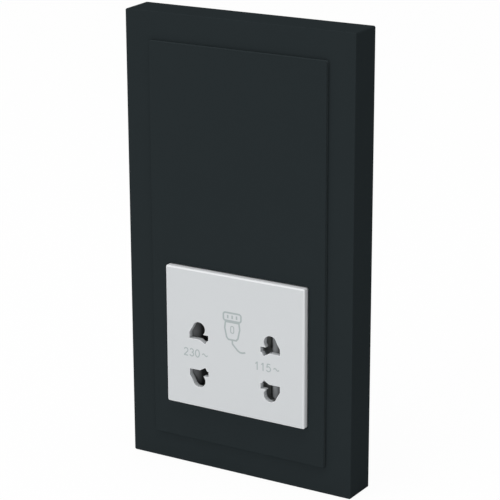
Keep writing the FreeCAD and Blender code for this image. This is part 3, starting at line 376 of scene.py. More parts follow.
# %% The finishes
FINISHES = {
    "dark_plastic": finish("anthracite_moulding", linear(39, 45, 47), drift=0.03, specular=0.0,
                           roughness=0.6),
    # Lighter copy of the anthracite: painted light on the plate's proud side walls, against their shade
    "dark_wall_painted_lighter": finish("anthracite_edge", linear(59, 67, 69), drift=0.03, specular=0.0),
    "silver_plastic": finish("silver_lacquer", linear(206, 209, 211), drift=0.015, specular=0.2,
                             roughness=0.42),
    # Lighter, glossier copy of the silver: painted highlight on the face's chamfer, walls and opening rims
    "silver_painted_highlight": finish("silver_lacquer_edge", linear(232, 234, 236), drift=0.015, specular=0.3,
                          roughness=0.3),
    # Shutter grey with painted shade, darker towards the deep inner end of the left ramp
    "shutter_grey": finish("dark_grey_shutter_moulding", linear(128, 130, 132), specular=0.1, roughness=0.45,
                           painted_shade=(-17.6, -14.9, 0.03)),
    # Lighter copy of the shutter grey: painted light on the right shutter, with painted shade towards its
    # outer end
    "lighter_painted_shutter": finish("light_grey_shutter_moulding", linear(216, 219, 222), specular=0.2,
                            roughness=0.45, painted_shade=(11.8, 15.0, 0.16)),
    "print_grey": finish("grey_print", linear(168, 177, 178), drift=0.02, specular=0.1, roughness=0.6,
                         grain=0.002),
    "black_moulding": finish("black_filled_moulding", linear(38, 38, 40), specular=0.2, roughness=0.6,
                             grain=0.02, scale=3500.0),
    "housing_plastic": finish("light_grey_moulding", linear(188, 190, 188), specular=0.25, roughness=0.55,
                              grain=0.02, scale=3500.0),
    "red_plastic": finish("red_plunger_moulding", linear(178, 48, 40), roughness=0.35),
    "bobbin_nylon": finish("natural_nylon", linear(206, 200, 182), specular=0.4, roughness=0.45),
    "spring_steel": finish("bright_spring_strip", linear(188, 188, 188), metallic=1.0, roughness=0.3,
                           stretch=(0.1, 1.0, 1.0)),
    "zinc_steel": finish("zinc_plated_sheet", linear(196, 198, 200), drift=0.1, metallic=1.0, roughness=0.38,
                         grain=0.01, scale=1500.0, stretch=(1.0, 1.0, 0.08)),
    "core_steel": finish("varnished_laminations", linear(98, 98, 102), drift=0.15, metallic=0.6,
                         roughness=0.45, grain=0.02, scale=2000.0, stretch=(0.2, 1.0, 0.2)),
    "contact_brass": finish("brass_strip", linear(206, 172, 104), drift=0.08, metallic=1.0, roughness=0.32,
                            stretch=(1.0, 0.1, 1.0)),
    "enamelled_copper": finish("enamelled_wire", linear(168, 82, 48), drift=0.1, metallic=0.7,
                               roughness=0.32, specular=0.6),
}
print("finishes:", len(FINISHES))

# %% Bodies and slots from the record
BODY_OF = {}
for body, members in frame["record"]["behaviour"]["bodies"].items():
    for name in members:
        BODY_OF[name] = body
SLOT_OF = {row["node"]: row["material_slot"] for row in frame["record"]["subparts"]}
print("nodes with a body:", len(BODY_OF), "nodes with a slot:", len(SLOT_OF))

# %% [markdown]
# ## Skins made of rings
# The three front mouldings are frames and shells with round corners. Booleans could cut them, but a stack
# of rings, each a rectangle with round corners, gives clean quads and exact round edges. One helper makes a
# ring, one turns an edge round with several of them, and one lays the skin between neighbouring rings.

# %% Rings and lips
CORNER_STEPS = 6
LIP_STEPS = 4
LEAST_RADIUS = 0.05


def outline(width, height, radius):
    """Rectangle with round corners as (a, b) pairs, anticlockwise from the right-hand side."""
    points = []
    for number, (side_a, side_b) in enumerate(((1, 1), (-1, 1), (-1, -1), (1, -1))):
        for step in range(CORNER_STEPS + 1):
            angle = math.radians(90 * (number + step / CORNER_STEPS))
            a = side_a * (width / 2 - radius) + radius * math.cos(angle)
            b = side_b * (height / 2 - radius) + radius * math.sin(angle)
            points.append((a, b))
    return points


def ring(width, height, radius, y, z=0.0):
    """That rectangle as points square to Y, in millimetres."""
    return [Vector((a, y, z + b)) for a, b in outline(width, height, radius)]


def lip(width, height, radius, y, edge, z=0.0, side=1):
    """Rings that turn a wall into the front at y, with side 1 for an outside edge and -1 for an opening."""
    rings = []
    for step in range(LIP_STEPS + 1):
        angle = math.radians(90 * step / LIP_STEPS)
        inset = side * edge * (1 - math.cos(angle))
        depth = y + edge * (1 - math.sin(angle))
        corner = max(radius - inset, LEAST_RADIUS)
        rings.append(ring(width - 2 * inset, height - 2 * inset, corner, depth, z))
    return rings


print("points in a ring:", len(outline(2.0, 2.0, 0.5)), "rings in a lip:", LIP_STEPS + 1)


# %% Skins and meshes
def skin(bm, rings, closed=False, edge_strips=()):
    """Quads between neighbouring rings. The strips named by number take the second material, a lighter copy
    with painted light.
    """
    rows = [[bm.verts.new(point * MM) for point in one] for one in rings]
    pairs = [(number, number + 1) for number in range(len(rows) - 1)]
    if closed:
        pairs.append((len(rows) - 1, 0))
    for first, second in pairs:
        count = len(rows[first])
        for index in range(count):
            after = (index + 1) % count
            corners = (rows[first][index], rows[first][after], rows[second][after], rows[second][index])
            face = bm.faces.new(corners)
            face.material_index = int(first in edge_strips)
    return rows


def mesh_from(bm, name):
    """Mesh with outward faces from a filled bmesh, which is freed."""
    bmesh.ops.recalc_face_normals(bm, faces=bm.faces)
    mesh = bpy.data.meshes.new(name)
    bm.to_mesh(mesh)
    bm.free()
    return mesh


def joined(name, meshes):
    """One mesh from several."""
    bm = bmesh.new()
    for mesh in meshes:
        bm.from_mesh(mesh)
    together = bpy.data.meshes.new(name)
    bm.to_mesh(together)
    bm.free()
    return together


print("helpers:", skin.__name__, mesh_from.__name__, joined.__name__)

# %% Boxes with rounded edges
SLAB_EDGE = 0.15


def slabs(name, ranges):
    """Mesh of boxes with rounded edges, each from its ranges on x, y and z in millimetres."""
    bm = bmesh.new()
    for x, y, z in ranges:
        low = Vector((min(x), min(y), min(z))) * MM
        high = Vector((max(x), max(y), max(z))) * MM
        place = Matrix.Translation((low + high) / 2) @ Matrix.Diagonal((*(high - low), 1.0))
        made = bmesh.ops.create_cube(bm, size=1.0, matrix=place)
        edges = list({edge for vert in made["verts"] for edge in vert.link_edges})
        bmesh.ops.bevel(bm, geom=edges, offset=SLAB_EDGE * MM, segments=2, profile=0.5, affect="EDGES")
    return mesh_from(bm, name)


print("edge of a box:", SLAB_EDGE, "mm")

# %% A piece of the dressed part
SHARP_ANGLE = math.radians(35)


def add_piece(name, mesh, finishes, body, replaced):
    """Shown object that rides on a body, stands for CAD nodes and has a material slot of the record."""
    piece = bpy.data.objects.new(name, mesh)
    scene.collection.objects.link(piece)
    for finish_name in finishes:
        mesh.materials.append(FINISHES[finish_name])
    mesh.shade_smooth()
    mesh.set_sharp_from_angle(angle=SHARP_ANGLE)
    piece.modifiers.new("even_normals", "WEIGHTED_NORMAL").keep_sharp = True
    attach(piece, body)
    if replaced:
        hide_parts(*replaced)
    print("piece", name, "faces", len(mesh.polygons))
    return piece


print("edges stay hard above", round(math.degrees(SHARP_ANGLE)), "degrees")

# %% [markdown]
# ## A row of pieces
# Ribs, screws, laminations and turns of wire are all the same thing many times over, at even steps. One
# Geometry Nodes tree lays any piece out in a row: a line of points, an instance on each point, then Realize
# Instances, because an export keeps only real geometry. Used twice, once along each side, it also fills
# four corners.


# %% Geometry Nodes tree for a row
def make_row_tree():
    """Tree that lays out copies of an object in a row, as real geometry with one material."""
    tree = bpy.data.node_groups.new("row_of_pieces", "GeometryNodeTree")
    for label, kind in (("Piece", "NodeSocketObject"), ("Count", "NodeSocketInt"),
                        ("Start", "NodeSocketVector"), ("Step", "NodeSocketVector"),
                        ("Material", "NodeSocketMaterial")):
        tree.interface.new_socket(label, in_out="INPUT", socket_type=kind)
    tree.interface.new_socket("Geometry", in_out="OUTPUT", socket_type="NodeSocketGeometry")
    given = tree.nodes.new("NodeGroupInput")
    result = tree.nodes.new("NodeGroupOutput")
    line = tree.nodes.new("GeometryNodeMeshLine")
    line.mode = "OFFSET"
    piece = tree.nodes.new("GeometryNodeObjectInfo")
    place = tree.nodes.new("GeometryNodeInstanceOnPoints")
    realize = tree.nodes.new("GeometryNodeRealizeInstances")
    paint = tree.nodes.new("GeometryNodeSetMaterial")
    connect(tree, (given, "Count", line, "Count"), (given, "Start", line, "Start Location"),
            (given, "Step", line, "Offset"), (given, "Piece", piece, "Object"),
            (line, "Mesh", place, "Points"), (piece, "Geometry", place, "Instance"),
            (place, "Instances", realize, "Geometry"), (realize, "Geometry", paint, "Geometry"),
            (given, "Material", paint, "Material"), (paint, "Geometry", result, "Geometry"))
    return tree


ROW_TREE = make_row_tree()
ROW_INPUTS = [item for item in ROW_TREE.interface.items_tree if item.in_out == "INPUT"]
print("tree:", ROW_TREE.name, "inputs:", [item.name for item in ROW_INPUTS])


# %% A mesh from the row tree
def row_of(mesh, count, start, step, finish_name):
    """Plain mesh with copies of a mesh in a row, from its start and step in millimetres."""
    one = bpy.data.objects.new(mesh.name + "_one", mesh)
    holder = bpy.data.objects.new(mesh.name + "_row", bpy.data.meshes.new(mesh.name + "_row"))
    scene.collection.objects.link(one)
    scene.collection.objects.link(holder)
    modifier = holder.modifiers.new("row", "NODES")
    modifier.node_group = ROW_TREE
    values = {"Piece": one, "Count": count, "Start": tuple(Vector(start) * MM),
              "Step": tuple(Vector(step) * MM), "Material": FINISHES[finish_name]}
    for socket in ROW_INPUTS:
        modifier[socket.identifier] = values[socket.name]
    made = bpy.data.meshes.new_from_object(holder.evaluated_get(bpy.context.evaluated_depsgraph_get()))
    holder.modifiers.remove(modifier)
    bpy.data.objects.remove(holder)
    bpy.data.objects.remove(one)
    made.materials.clear()
    return made


print("helper:", row_of.__name__)

# %% [markdown]
# ## Cover frame
# The frame is one hollow moulding: an outer wall with a little draft, a flat border, and a collar round the
# opening with a ledge for the centre plate. Seen in section it is a closed loop, so its rings close on
# themselves. Ribs stiffen the channel behind the border.

# %% Cover frame
frame_low, frame_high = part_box("cover_frame")
plate_low, plate_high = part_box("insert_plate")
FRAME_W = (frame_high.x - frame_low.x) / MM
FRAME_H = (frame_high.z - frame_low.z) / MM
PLATE_W = (plate_high.x - plate_low.x) / MM
PLATE_H = (plate_high.z - plate_low.z) / MM
FRAME_FRONT = frame_low.y / MM
FRAME_CORNER = 0.6
FRAME_DRAFT = 0.2
FRAME_EDGE = 0.3
FRAME_WALL = 2.2
OPENING_EDGE = 0.05
PLATE_GAP = 0.02
PLATE_CORNER = 0.6
LEDGE_W = 2.2
LEDGE_DEPTH = 3.0
LEDGE_Y = FRAME_FRONT + LEDGE_DEPTH
LEDGE_CORNER = 0.3
COLLAR_WALL = 1.6
COLLAR_Y = -1.5
COLLAR_CORNER = 0.6
HOLLOW_CORNER = 0.4

opening_w = PLATE_W + 2 * PLATE_GAP
opening_h = PLATE_H + 2 * PLATE_GAP
collar_w = opening_w + 2 * COLLAR_WALL
collar_h = opening_h + 2 * COLLAR_WALL
ledge_w = opening_w - 2 * LEDGE_W
ledge_h = opening_h - 2 * LEDGE_W
hollow_w = FRAME_W - 2 * FRAME_WALL
hollow_h = FRAME_H - 2 * FRAME_WALL
hollow_y = FRAME_FRONT + FRAME_WALL
bm = bmesh.new()
rings = [ring(FRAME_W, FRAME_H, FRAME_CORNER, 0.0)]
rings += lip(FRAME_W - 2 * FRAME_DRAFT, FRAME_H - 2 * FRAME_DRAFT, FRAME_CORNER, FRAME_FRONT, FRAME_EDGE)
rings += reversed(lip(opening_w, opening_h, PLATE_CORNER, FRAME_FRONT, OPENING_EDGE, side=-1))
rings += [ring(opening_w, opening_h, PLATE_CORNER, LEDGE_Y),
          ring(ledge_w, ledge_h, LEDGE_CORNER, LEDGE_Y),
          ring(ledge_w, ledge_h, LEDGE_CORNER, COLLAR_Y),
          ring(collar_w, collar_h, COLLAR_CORNER, COLLAR_Y),
          ring(collar_w, collar_h, COLLAR_CORNER, hollow_y),
          ring(hollow_w, hollow_h, HOLLOW_CORNER, hollow_y),
          ring(hollow_w, hollow_h, HOLLOW_CORNER, 0.0)]
skin(bm, rings, closed=True)
frame_parts = [mesh_from(bm, "frame_skin")]
print("frame:", round(FRAME_W, 1), "x", round(FRAME_H, 1), "mm,", len(rings), "rings")

# %% Ribs behind the border, and the finished frame
RIB_T = 1.2
SINK = 0.2
TALL_RIBS = 5
SHORT_RIBS = 2

rib_y = (hollow_y - SINK, COLLAR_Y - RIB_T)
rib_half = (-RIB_T / 2, RIB_T / 2)
tall_pitch = hollow_h / TALL_RIBS
short_pitch = hollow_w / SHORT_RIBS
lowest = (1 - TALL_RIBS) / 2 * tall_pitch
leftmost = (1 - SHORT_RIBS) / 2 * short_pitch
for side in (-1, 1):
    x = (side * (collar_w / 2 - SINK), side * (hollow_w / 2 + SINK))
    rib = slabs("tall_side_rib", [(x, rib_y, rib_half)])
    frame_parts.append(row_of(rib, TALL_RIBS, (0, 0, lowest), (0, 0, tall_pitch), "dark_plastic"))
    z = (side * (collar_h / 2 - SINK), side * (hollow_h / 2 + SINK))
    rib = slabs("short_side_rib", [(rib_half, rib_y, z)])
    frame_parts.append(row_of(rib, SHORT_RIBS, (leftmost, 0, 0), (short_pitch, 0, 0), "dark_plastic"))
add_piece("cover_frame_dressed", joined("cover_frame_dressed", frame_parts), ["dark_plastic"], "base",
          ["cover_frame"])

# %% [markdown]
# ## Centre plate
# The plate stands a little proud of the frame. Its section is again a closed loop of rings, only that the
# inner ones are the window for the outlets, which sits below the middle. Behind it are ribs, and six clip
# legs with nibs.

# %% Centre plate
face_low, face_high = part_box("socket_face")
FLANGE_W = 2.0
FACE_W = (face_high.x - face_low.x) / MM - 2 * FLANGE_W
FACE_H = (face_high.z - face_low.z) / MM - 2 * FLANGE_W
FACE_Z = (face_high.z + face_low.z) / 2 / MM
FACE_GAP = 0.3
FACE_CORNER = 0.6
PLATE_FRONT = plate_low.y / MM
PLATE_WALL = 2.2
PLATE_BACK = PLATE_FRONT + PLATE_WALL
PLATE_EDGE = 0.2
PLATE_SKIRT = 1.6
SKIRT_CORNER = 0.4

window_w = FACE_W + 2 * FACE_GAP
window_h = FACE_H + 2 * FACE_GAP
window_corner = FACE_CORNER + FACE_GAP
inside_w = PLATE_W - 2 * PLATE_SKIRT
inside_h = PLATE_H - 2 * PLATE_SKIRT
bm = bmesh.new()
rings = [ring(PLATE_W, PLATE_H, PLATE_CORNER, LEDGE_Y), ring(PLATE_W, PLATE_H, PLATE_CORNER, FRAME_FRONT)]
rings += lip(PLATE_W, PLATE_H, PLATE_CORNER, PLATE_FRONT, PLATE_EDGE)
rings += reversed(lip(window_w, window_h, window_corner, PLATE_FRONT, OPENING_EDGE, FACE_Z, side=-1))
rings += [ring(window_w, window_h, window_corner, PLATE_BACK, FACE_Z),
          ring(inside_w, inside_h, SKIRT_CORNER, PLATE_BACK), ring(inside_w, inside_h, SKIRT_CORNER, LEDGE_Y)]
# Strip 1, the plate's proud side wall, takes the lighter anthracite: painted light
skin(bm, rings, closed=True, edge_strips=[1])
plate_parts = [mesh_from(bm, "plate_skin")]
print("plate:", round(PLATE_W, 1), "x", round(PLATE_H, 1), "mm, window", round(window_w, 1), "mm wide")

# %% Ribs and clip legs behind the plate
LEG_W = 8.0
LEG_T = 1.5
NIB = 0.9
NIB_H = 1.2
FIT_GAP = 0.15
UPPER_LEG_X = 18.0
UPPER_LEG_ROWS = (6.0, 40.0)
LOWER_LEG_ROOM = 0.65
LOWER_LEG_X = FACE_W / 2 + LOWER_LEG_ROOM
FACE_END = face_high.y / MM
LIP_T = 1.2
PLATE_RIBS = 2

rib_low = FACE_Z + FACE_H / 2 + FLANGE_W + RIB_T
rib_high = inside_h / 2
rib_y = (PLATE_BACK - SINK, LEDGE_Y)
column_w = inside_w / (PLATE_RIBS + 1)
row_h = (rib_high - rib_low) / (PLATE_RIBS + 1)
rib = slabs("tall_plate_rib", [(rib_half, rib_y, (rib_low, rib_high + SINK))])
plate_parts.append(row_of(rib, PLATE_RIBS, (-column_w / 2, 0, 0), (column_w, 0, 0), "dark_plastic"))
rib = slabs("cross_plate_rib", [((-inside_w / 2 - SINK, inside_w / 2 + SINK), rib_y, rib_half)])
plate_parts.append(row_of(rib, PLATE_RIBS, (0, 0, rib_low + row_h), (0, 0, row_h), "dark_plastic"))
nib_y = (COLLAR_Y + FIT_GAP, COLLAR_Y + FIT_GAP + NIB_H)
lower_nib_y = (FACE_END + LIP_T + FIT_GAP, FACE_END + LIP_T + FIT_GAP + NIB_H)
legs = []
for side in (-1, 1):
    outer = UPPER_LEG_X + LEG_T
    for z in UPPER_LEG_ROWS:
        leg_z = (z - LEG_W / 2, z + LEG_W / 2)
        legs.append(((side * UPPER_LEG_X, side * outer), (PLATE_BACK - SINK, nib_y[1]), leg_z))
        legs.append(((side * (outer - SINK), side * (outer + NIB)), nib_y, leg_z))
    leg_z = (FACE_Z - LEG_W / 2, FACE_Z + LEG_W / 2)
    leg_x = (side * LOWER_LEG_X, side * (LOWER_LEG_X + LEG_T))
    legs.append((leg_x, (PLATE_BACK - SINK, lower_nib_y[1]), leg_z))
    legs.append(((side * (LOWER_LEG_X - NIB), side * (LOWER_LEG_X + SINK)), lower_nib_y, leg_z))
plate_parts.append(slabs("clip_legs", legs))
add_piece("insert_plate_dressed", joined("insert_plate_dressed", plate_parts), ["dark_plastic", "dark_wall_painted_lighter"],
          "base", ["insert_plate"])

# %% [markdown]
# ## Pin openings
# Each opening is a round hole, a flat blade slot and a slanted blade slot in one, so that plugs of several
# kinds fit. A straight flank joins the blade's outer end to the round hole. A boolean would do, but the
# outline is short enough to work out: the corners where the shapes cross, and one arc. The other three
# openings are mirror images.

# %% Outline of a pin opening
OUTLET_X = 13.85
OUTLET_DROP = 5.55
OUTLET_Z = FACE_Z - OUTLET_DROP
HOLE_R = 2.45
HOLE_W = 9.25
BLADE_L = 7.4
BLADE_T = 2.0
BLADE_W = 6.45
SLANT_L = 6.9
SLANT_T = 2.4
SLANT_PLACE = Vector((0.1, 6.97))
SLANT = math.radians(30)
FLANK_RISE = 0.15
FLANK_ANGLE = math.radians(140)
FLANK_SINK = 0.08
ARC_STEPS = 28

along = Vector((math.cos(SLANT), -math.sin(SLANT)))
across = Vector((math.sin(SLANT), math.cos(SLANT)))
foot_low = SLANT_PLACE + along * SLANT_L / 2 - across * SLANT_T / 2
foot_high = SLANT_PLACE + along * SLANT_L / 2 + across * SLANT_T / 2
head_low = SLANT_PLACE - along * SLANT_L / 2 - across * SLANT_T / 2
blade_low_left = Vector((-BLADE_L / 2, BLADE_W - BLADE_T / 2))
blade_low_right = Vector((BLADE_L / 2, BLADE_W - BLADE_T / 2))
blade_high_left = Vector((-BLADE_L / 2, BLADE_W + BLADE_T / 2))
blade_high_right = Vector((BLADE_L / 2, BLADE_W + BLADE_T / 2))
hole_centre = Vector((0.0, HOLE_W))
toe = intersect_line_line_2d(blade_low_left, blade_low_right, head_low, foot_low)
heel = intersect_line_line_2d(blade_low_left, blade_low_right, foot_low, foot_high)
flank_start = blade_high_left + Vector((0.0, FLANK_RISE))
flank_end = hole_centre + Vector((math.cos(FLANK_ANGLE), math.sin(FLANK_ANGLE))) * (HOLE_R - FLANK_SINK)
blade_crossings = intersect_line_sphere_2d(blade_high_left, blade_high_right, hole_centre, HOLE_R, False)
flank_crossings = intersect_line_sphere_2d(flank_start, flank_end, hole_centre, HOLE_R, False)
arc_start = max(blade_crossings, key=lambda point: point.x)
arc_end = min(flank_crossings, key=lambda point: point.x)
start_angle = math.atan2(arc_start.y - HOLE_W, arc_start.x)
end_angle = math.atan2(arc_end.y - HOLE_W, arc_end.x)
arc = []
for step in range(ARC_STEPS + 1):
    angle = start_angle + (end_angle - start_angle) * step / ARC_STEPS
    arc.append(hole_centre + Vector((math.cos(angle), math.sin(angle))) * HOLE_R)
opening = [blade_low_left, toe, foot_low, heel, blade_low_right, blade_high_right] + arc + [flank_start]
print("opening outline:", len(opening), "points, arc from", round(math.degrees(start_angle)), "to",
      round(math.degrees(end_angle)))


# %% All four openings, and an outline grown by its rim
def grown(points, distance):
    """Closed anticlockwise outline moved outwards by a distance."""
    moved = []
    for index, point in enumerate(points):
        before = (point - points[index - 1]).normalized()
        after = (points[(index + 1) % len(points)] - point).normalized()
        normal_before = Vector((before.y, -before.x))
        normal_after = Vector((after.y, -after.x))
        mitre = (normal_before + normal_after) / (1 + normal_before.dot(normal_after))
        moved.append(point + mitre * distance)
    return moved


def placed_openings():
    """The four outlines as (x, z) points on the face, each anticlockwise."""
    outlines = []
    for side in (-1, 1):
        for level in (-1, 1):
            points = [Vector((side * (OUTLET_X - p.x), OUTLET_Z + level * p.y)) for p in opening]
            outlines.append(points if side * level < 0 else list(reversed(points)))
    return outlines


OPENINGS = placed_openings()
print("openings:", len(OPENINGS))

# %% [markdown]
# ## Outlet face
# The silver face has a chamfer all round and a skirt. Its front and the inside of its front wall are flat
# areas with four holes: triangle fill closes such an area from its edges. The flange, which the centre
# plate holds from the front, is notched for the plate's clip legs, and two ribs behind the face hold the
# shutters' springs.

# %% Skin of the outlet face
FACE_FRONT = face_low.y / MM
INK = 0.02           # the print stands this far off the lacquer
FACE_WALL = 2.0
FACE_CHAMFER = 0.45
FACE_SKIRT = 1.6
FLANGE_T = 1.5
SOFT = 0.1           # rounding of the chamfer's edges

front_y = FACE_FRONT + INK
back_y = FACE_FRONT + FACE_WALL
chamfer_y = FACE_FRONT + FACE_CHAMFER
inner_corner = FACE_CORNER - FACE_CHAMFER
flat_w = FACE_W - 2 * FACE_CHAMFER
flat_h = FACE_H - 2 * FACE_CHAMFER
inside_w = FACE_W - 2 * FACE_SKIRT
inside_h = FACE_H - 2 * FACE_SKIRT
bm = bmesh.new()
rings = [ring(flat_w - SOFT, flat_h - SOFT, inner_corner, front_y, FACE_Z),
         ring(flat_w + SOFT, flat_h + SOFT, inner_corner, front_y + SOFT / 2, FACE_Z),
         ring(FACE_W - SOFT, FACE_H - SOFT, FACE_CORNER, chamfer_y - SOFT / 2, FACE_Z),
         ring(FACE_W, FACE_H, FACE_CORNER, chamfer_y + SOFT, FACE_Z),
         ring(FACE_W, FACE_H, FACE_CORNER, FACE_END, FACE_Z),
         ring(inside_w, inside_h, SKIRT_CORNER, FACE_END, FACE_Z),
         ring(inside_w, inside_h, SKIRT_CORNER, back_y, FACE_Z)]
# All these strips, the chamfer, the side wall and the skirt, take the lighter silver: a painted highlight
rows = skin(bm, rings, edge_strips=range(len(rings)))
print("outlet face:", round(FACE_W, 1), "x", round(FACE_H, 1), "mm")

# %% Pin openings through the outlet face
RIM = 0.12
RIM_STEPS = 3


def loop_edges(bm, row):
    """Edges of a closed row of vertices, made where they are missing."""
    edges = []
    for index, vert in enumerate(row):
        after = row[(index + 1) % len(row)]
        edges.append(bm.edges.get((vert, after)) or bm.edges.new((vert, after)))
    return edges


front_edges = loop_edges(bm, rows[0])
back_edges = loop_edges(bm, rows[-1])
for points in OPENINGS:
    tunnel = []
    for step in range(RIM_STEPS + 1):
        angle = math.radians(90 * step / RIM_STEPS)
        wider = grown(points, RIM * (1 - math.sin(angle)))
        tunnel.append([Vector((p.x, front_y + RIM * (1 - math.cos(angle)), p.y)) for p in wider])
    tunnel.append([Vector((p.x, back_y, p.y)) for p in points])
    # The rounded rims of the openings take the lighter silver too: a painted highlight
    tunnel_rows = skin(bm, tunnel, edge_strips=range(RIM_STEPS))
    front_edges += loop_edges(bm, tunnel_rows[0])
    back_edges += loop_edges(bm, tunnel_rows[-1])
bmesh.ops.triangle_fill(bm, use_beauty=True, edges=front_edges, normal=(0, -1, 0))
bmesh.ops.triangle_fill(bm, use_beauty=True, edges=back_edges, normal=(0, 1, 0))
face_parts = [mesh_from(bm, "outlet_skin")]
print("faces with the openings:", len(face_parts[0].polygons))

# %% Flange and spring ribs of the outlet face
NOTCH_HALF = LEG_W / 2 + FIT_GAP
SPRING_RIB_U = (-5.4, -4.2)
SPRING_RIB_HALF = 1.8
SPRING_RIB_H = 3.3

half_w = FACE_W / 2
half_h = FACE_H / 2
flange_y = (FACE_END - FLANGE_T, FACE_END)
rib_z = (OUTLET_Z - SPRING_RIB_HALF, OUTLET_Z + SPRING_RIB_HALF)
added = []
for side in (-1, 1):
    added.append(((-half_w - FLANGE_W, half_w + FLANGE_W), flange_y,
                  (FACE_Z + side * (half_h - SINK), FACE_Z + side * (half_h + FLANGE_W))))
    flange_x = (side * (half_w - SINK), side * (half_w + FLANGE_W))
    for level in (-1, 1):
        added.append((flange_x, flange_y, (FACE_Z + level * NOTCH_HALF, FACE_Z + level * half_h)))
    rib_x = [side * (OUTLET_X - u) for u in SPRING_RIB_U]
    added.append((rib_x, (back_y - SINK, back_y + SPRING_RIB_H), rib_z))
face_parts.append(slabs("outlet_flange", added))
add_piece("socket_face_dressed", joined("socket_face_dressed", face_parts), ["silver_plastic", "silver_painted_highlight"],
          "base", ["socket_face"])

# %% [markdown]
# ## Print on the outlet face
# The two outlets carry their voltages as plain numbers with the wave of alternating current, and between
# them is a shaver with its cord. A text object could give the numbers, but every mark here is a line of
# even width, so one helper draws them all. Ink has a thickness, even if it is small: each line is a thin
# solid that stands on the lacquer and ends level with the CAD front.


# %% Lines as thin solids
LAYER = 0.006


def ribbon(bm, points, width, closed=False, layer=0):
    """Stroke of a given width along (x, z) points on the outlet face.

    Strokes that meet have different layers, so that no two fronts lie in one plane.
    """
    front = FACE_FRONT + layer * LAYER
    back = FACE_FRONT + 2 * INK
    sections = []
    for index, point in enumerate(points):
        before = points[index - 1]
        after = points[(index + 1) % len(points)]
        if not closed and index == 0:
            before = point * 2 - after
        if not closed and index == len(points) - 1:
            after = point * 2 - before
        first = (point - before).normalized().orthogonal()
        second = (after - point).normalized().orthogonal()
        offset = (first + second) * (width / 2) / (1 + first.dot(second))
        high = point + offset
        low = point - offset
        sections.append([Vector((high.x, front, high.y)), Vector((low.x, front, low.y)),
                         Vector((low.x, back, low.y)), Vector((high.x, back, high.y))])
    rows = skin(bm, sections, closed)
    if not closed:
        bm.faces.new(rows[0])
        bm.faces.new(rows[-1])


print("print layers are", LAYER, "mm apart")

# %% Numbers as strokes
BOW_STEPS = 20


def bow(x, z, half_width, half_height, start, end):
    """Points of an ellipse from one angle to another, in degrees."""
    points = []
    for step in range(BOW_STEPS + 1):
        angle = math.radians(start + (end - start) * step / BOW_STEPS)
        points.append(Vector((x + half_width * math.cos(angle), z + half_height * math.sin(angle))))
    return points


def line(*pairs):
    """Points of a straight stroke, or of one with corners."""
    return [Vector(pair) for pair in pairs]


# Strokes of each digit in a box of height 1
DIGITS = {
    "0": [bow(0.3, 0.5, 0.3, 0.5, 0, 360)],
    "1": [line((0.1, 0.76), (0.36, 1.0)), line((0.36, 1.06), (0.36, -0.06))],
    "2": [bow(0.3, 0.72, 0.28, 0.28, 165, -40) + line((0.03, 0.03)), line((-0.04, 0.0), (0.6, 0.0))],
    "3": [bow(0.29, 0.76, 0.26, 0.24, 160, -90), bow(0.29, 0.27, 0.3, 0.27, 90, -160)],
    "5": [line((0.56, 1.0), (0.14, 1.0), (0.05, 0.5)), bow(0.28, 0.33, 0.31, 0.33, 145, -155)],
}
print("digits:", list(DIGITS))

# %% Numbers and waves
NUMBER_H = 2.6
NUMBER_RISE = 0.45
NUMBER_LOW = OUTLET_Z + NUMBER_RISE - NUMBER_H / 2
NUMBER_LINE = 0.38
DIGIT_PITCH = 2.25
NUMBER_LEFT = {"230": -19.7, "115": 8.0}
WAVE_PLACE = Vector((7.2, 1.2))
WAVE_L = 2.1
WAVE_H = 0.35
WAVE_STEPS = 24

bm = bmesh.new()
for number, left in NUMBER_LEFT.items():
    corner = Vector((left, NUMBER_LOW))
    for place, digit in enumerate(number):
        for layer, stroke in enumerate(DIGITS[digit]):
            points = [corner + Vector((place * DIGIT_PITCH, 0.0)) + point * NUMBER_H for point in stroke]
            if digit == "0":
                ribbon(bm, points[:-1], NUMBER_LINE, closed=True)
            else:
                ribbon(bm, points, NUMBER_LINE, layer=layer)
    wave = []
    for step in range(WAVE_STEPS + 1):
        share = step / WAVE_STEPS
        wave.append(corner + WAVE_PLACE + Vector((WAVE_L * share, WAVE_H * math.sin(2 * math.pi * share))))
    ribbon(bm, wave, NUMBER_LINE)
print("numbers:", list(NUMBER_LEFT), "faces:", len(bm.faces))

# %% Shaver with its cord
SHAVER_LINE = 0.58
SHAVER_PLACE = Vector((-0.65, -25.6))
HEAD_RISE = 4.6
HEAD_SHAPE = (6.8, 2.8, 0.8)
CUTTER_COLUMNS = (-1.7, 0.0, 1.7)
CUTTER_LOW = 4.0
CUTTER_HIGH = 5.2
SHAVER_BODY = line((2.6, 2.8), (2.9, 0.6), (2.2, -2.6), (1.5, -3.4), (-1.5, -3.4), (-2.2, -2.6), (-2.9, 0.6),
                   (-2.6, 2.8))
BUTTON_LINE = 0.34
BUTTON_RISE = 0.2
BUTTON_SHAPE = (1.2, 2.4, 0.55)
CORD_TOP = -3.6
CORD_DROP = 3.4
CORD_REACH = 5.0
CORD_SWING = 0.9

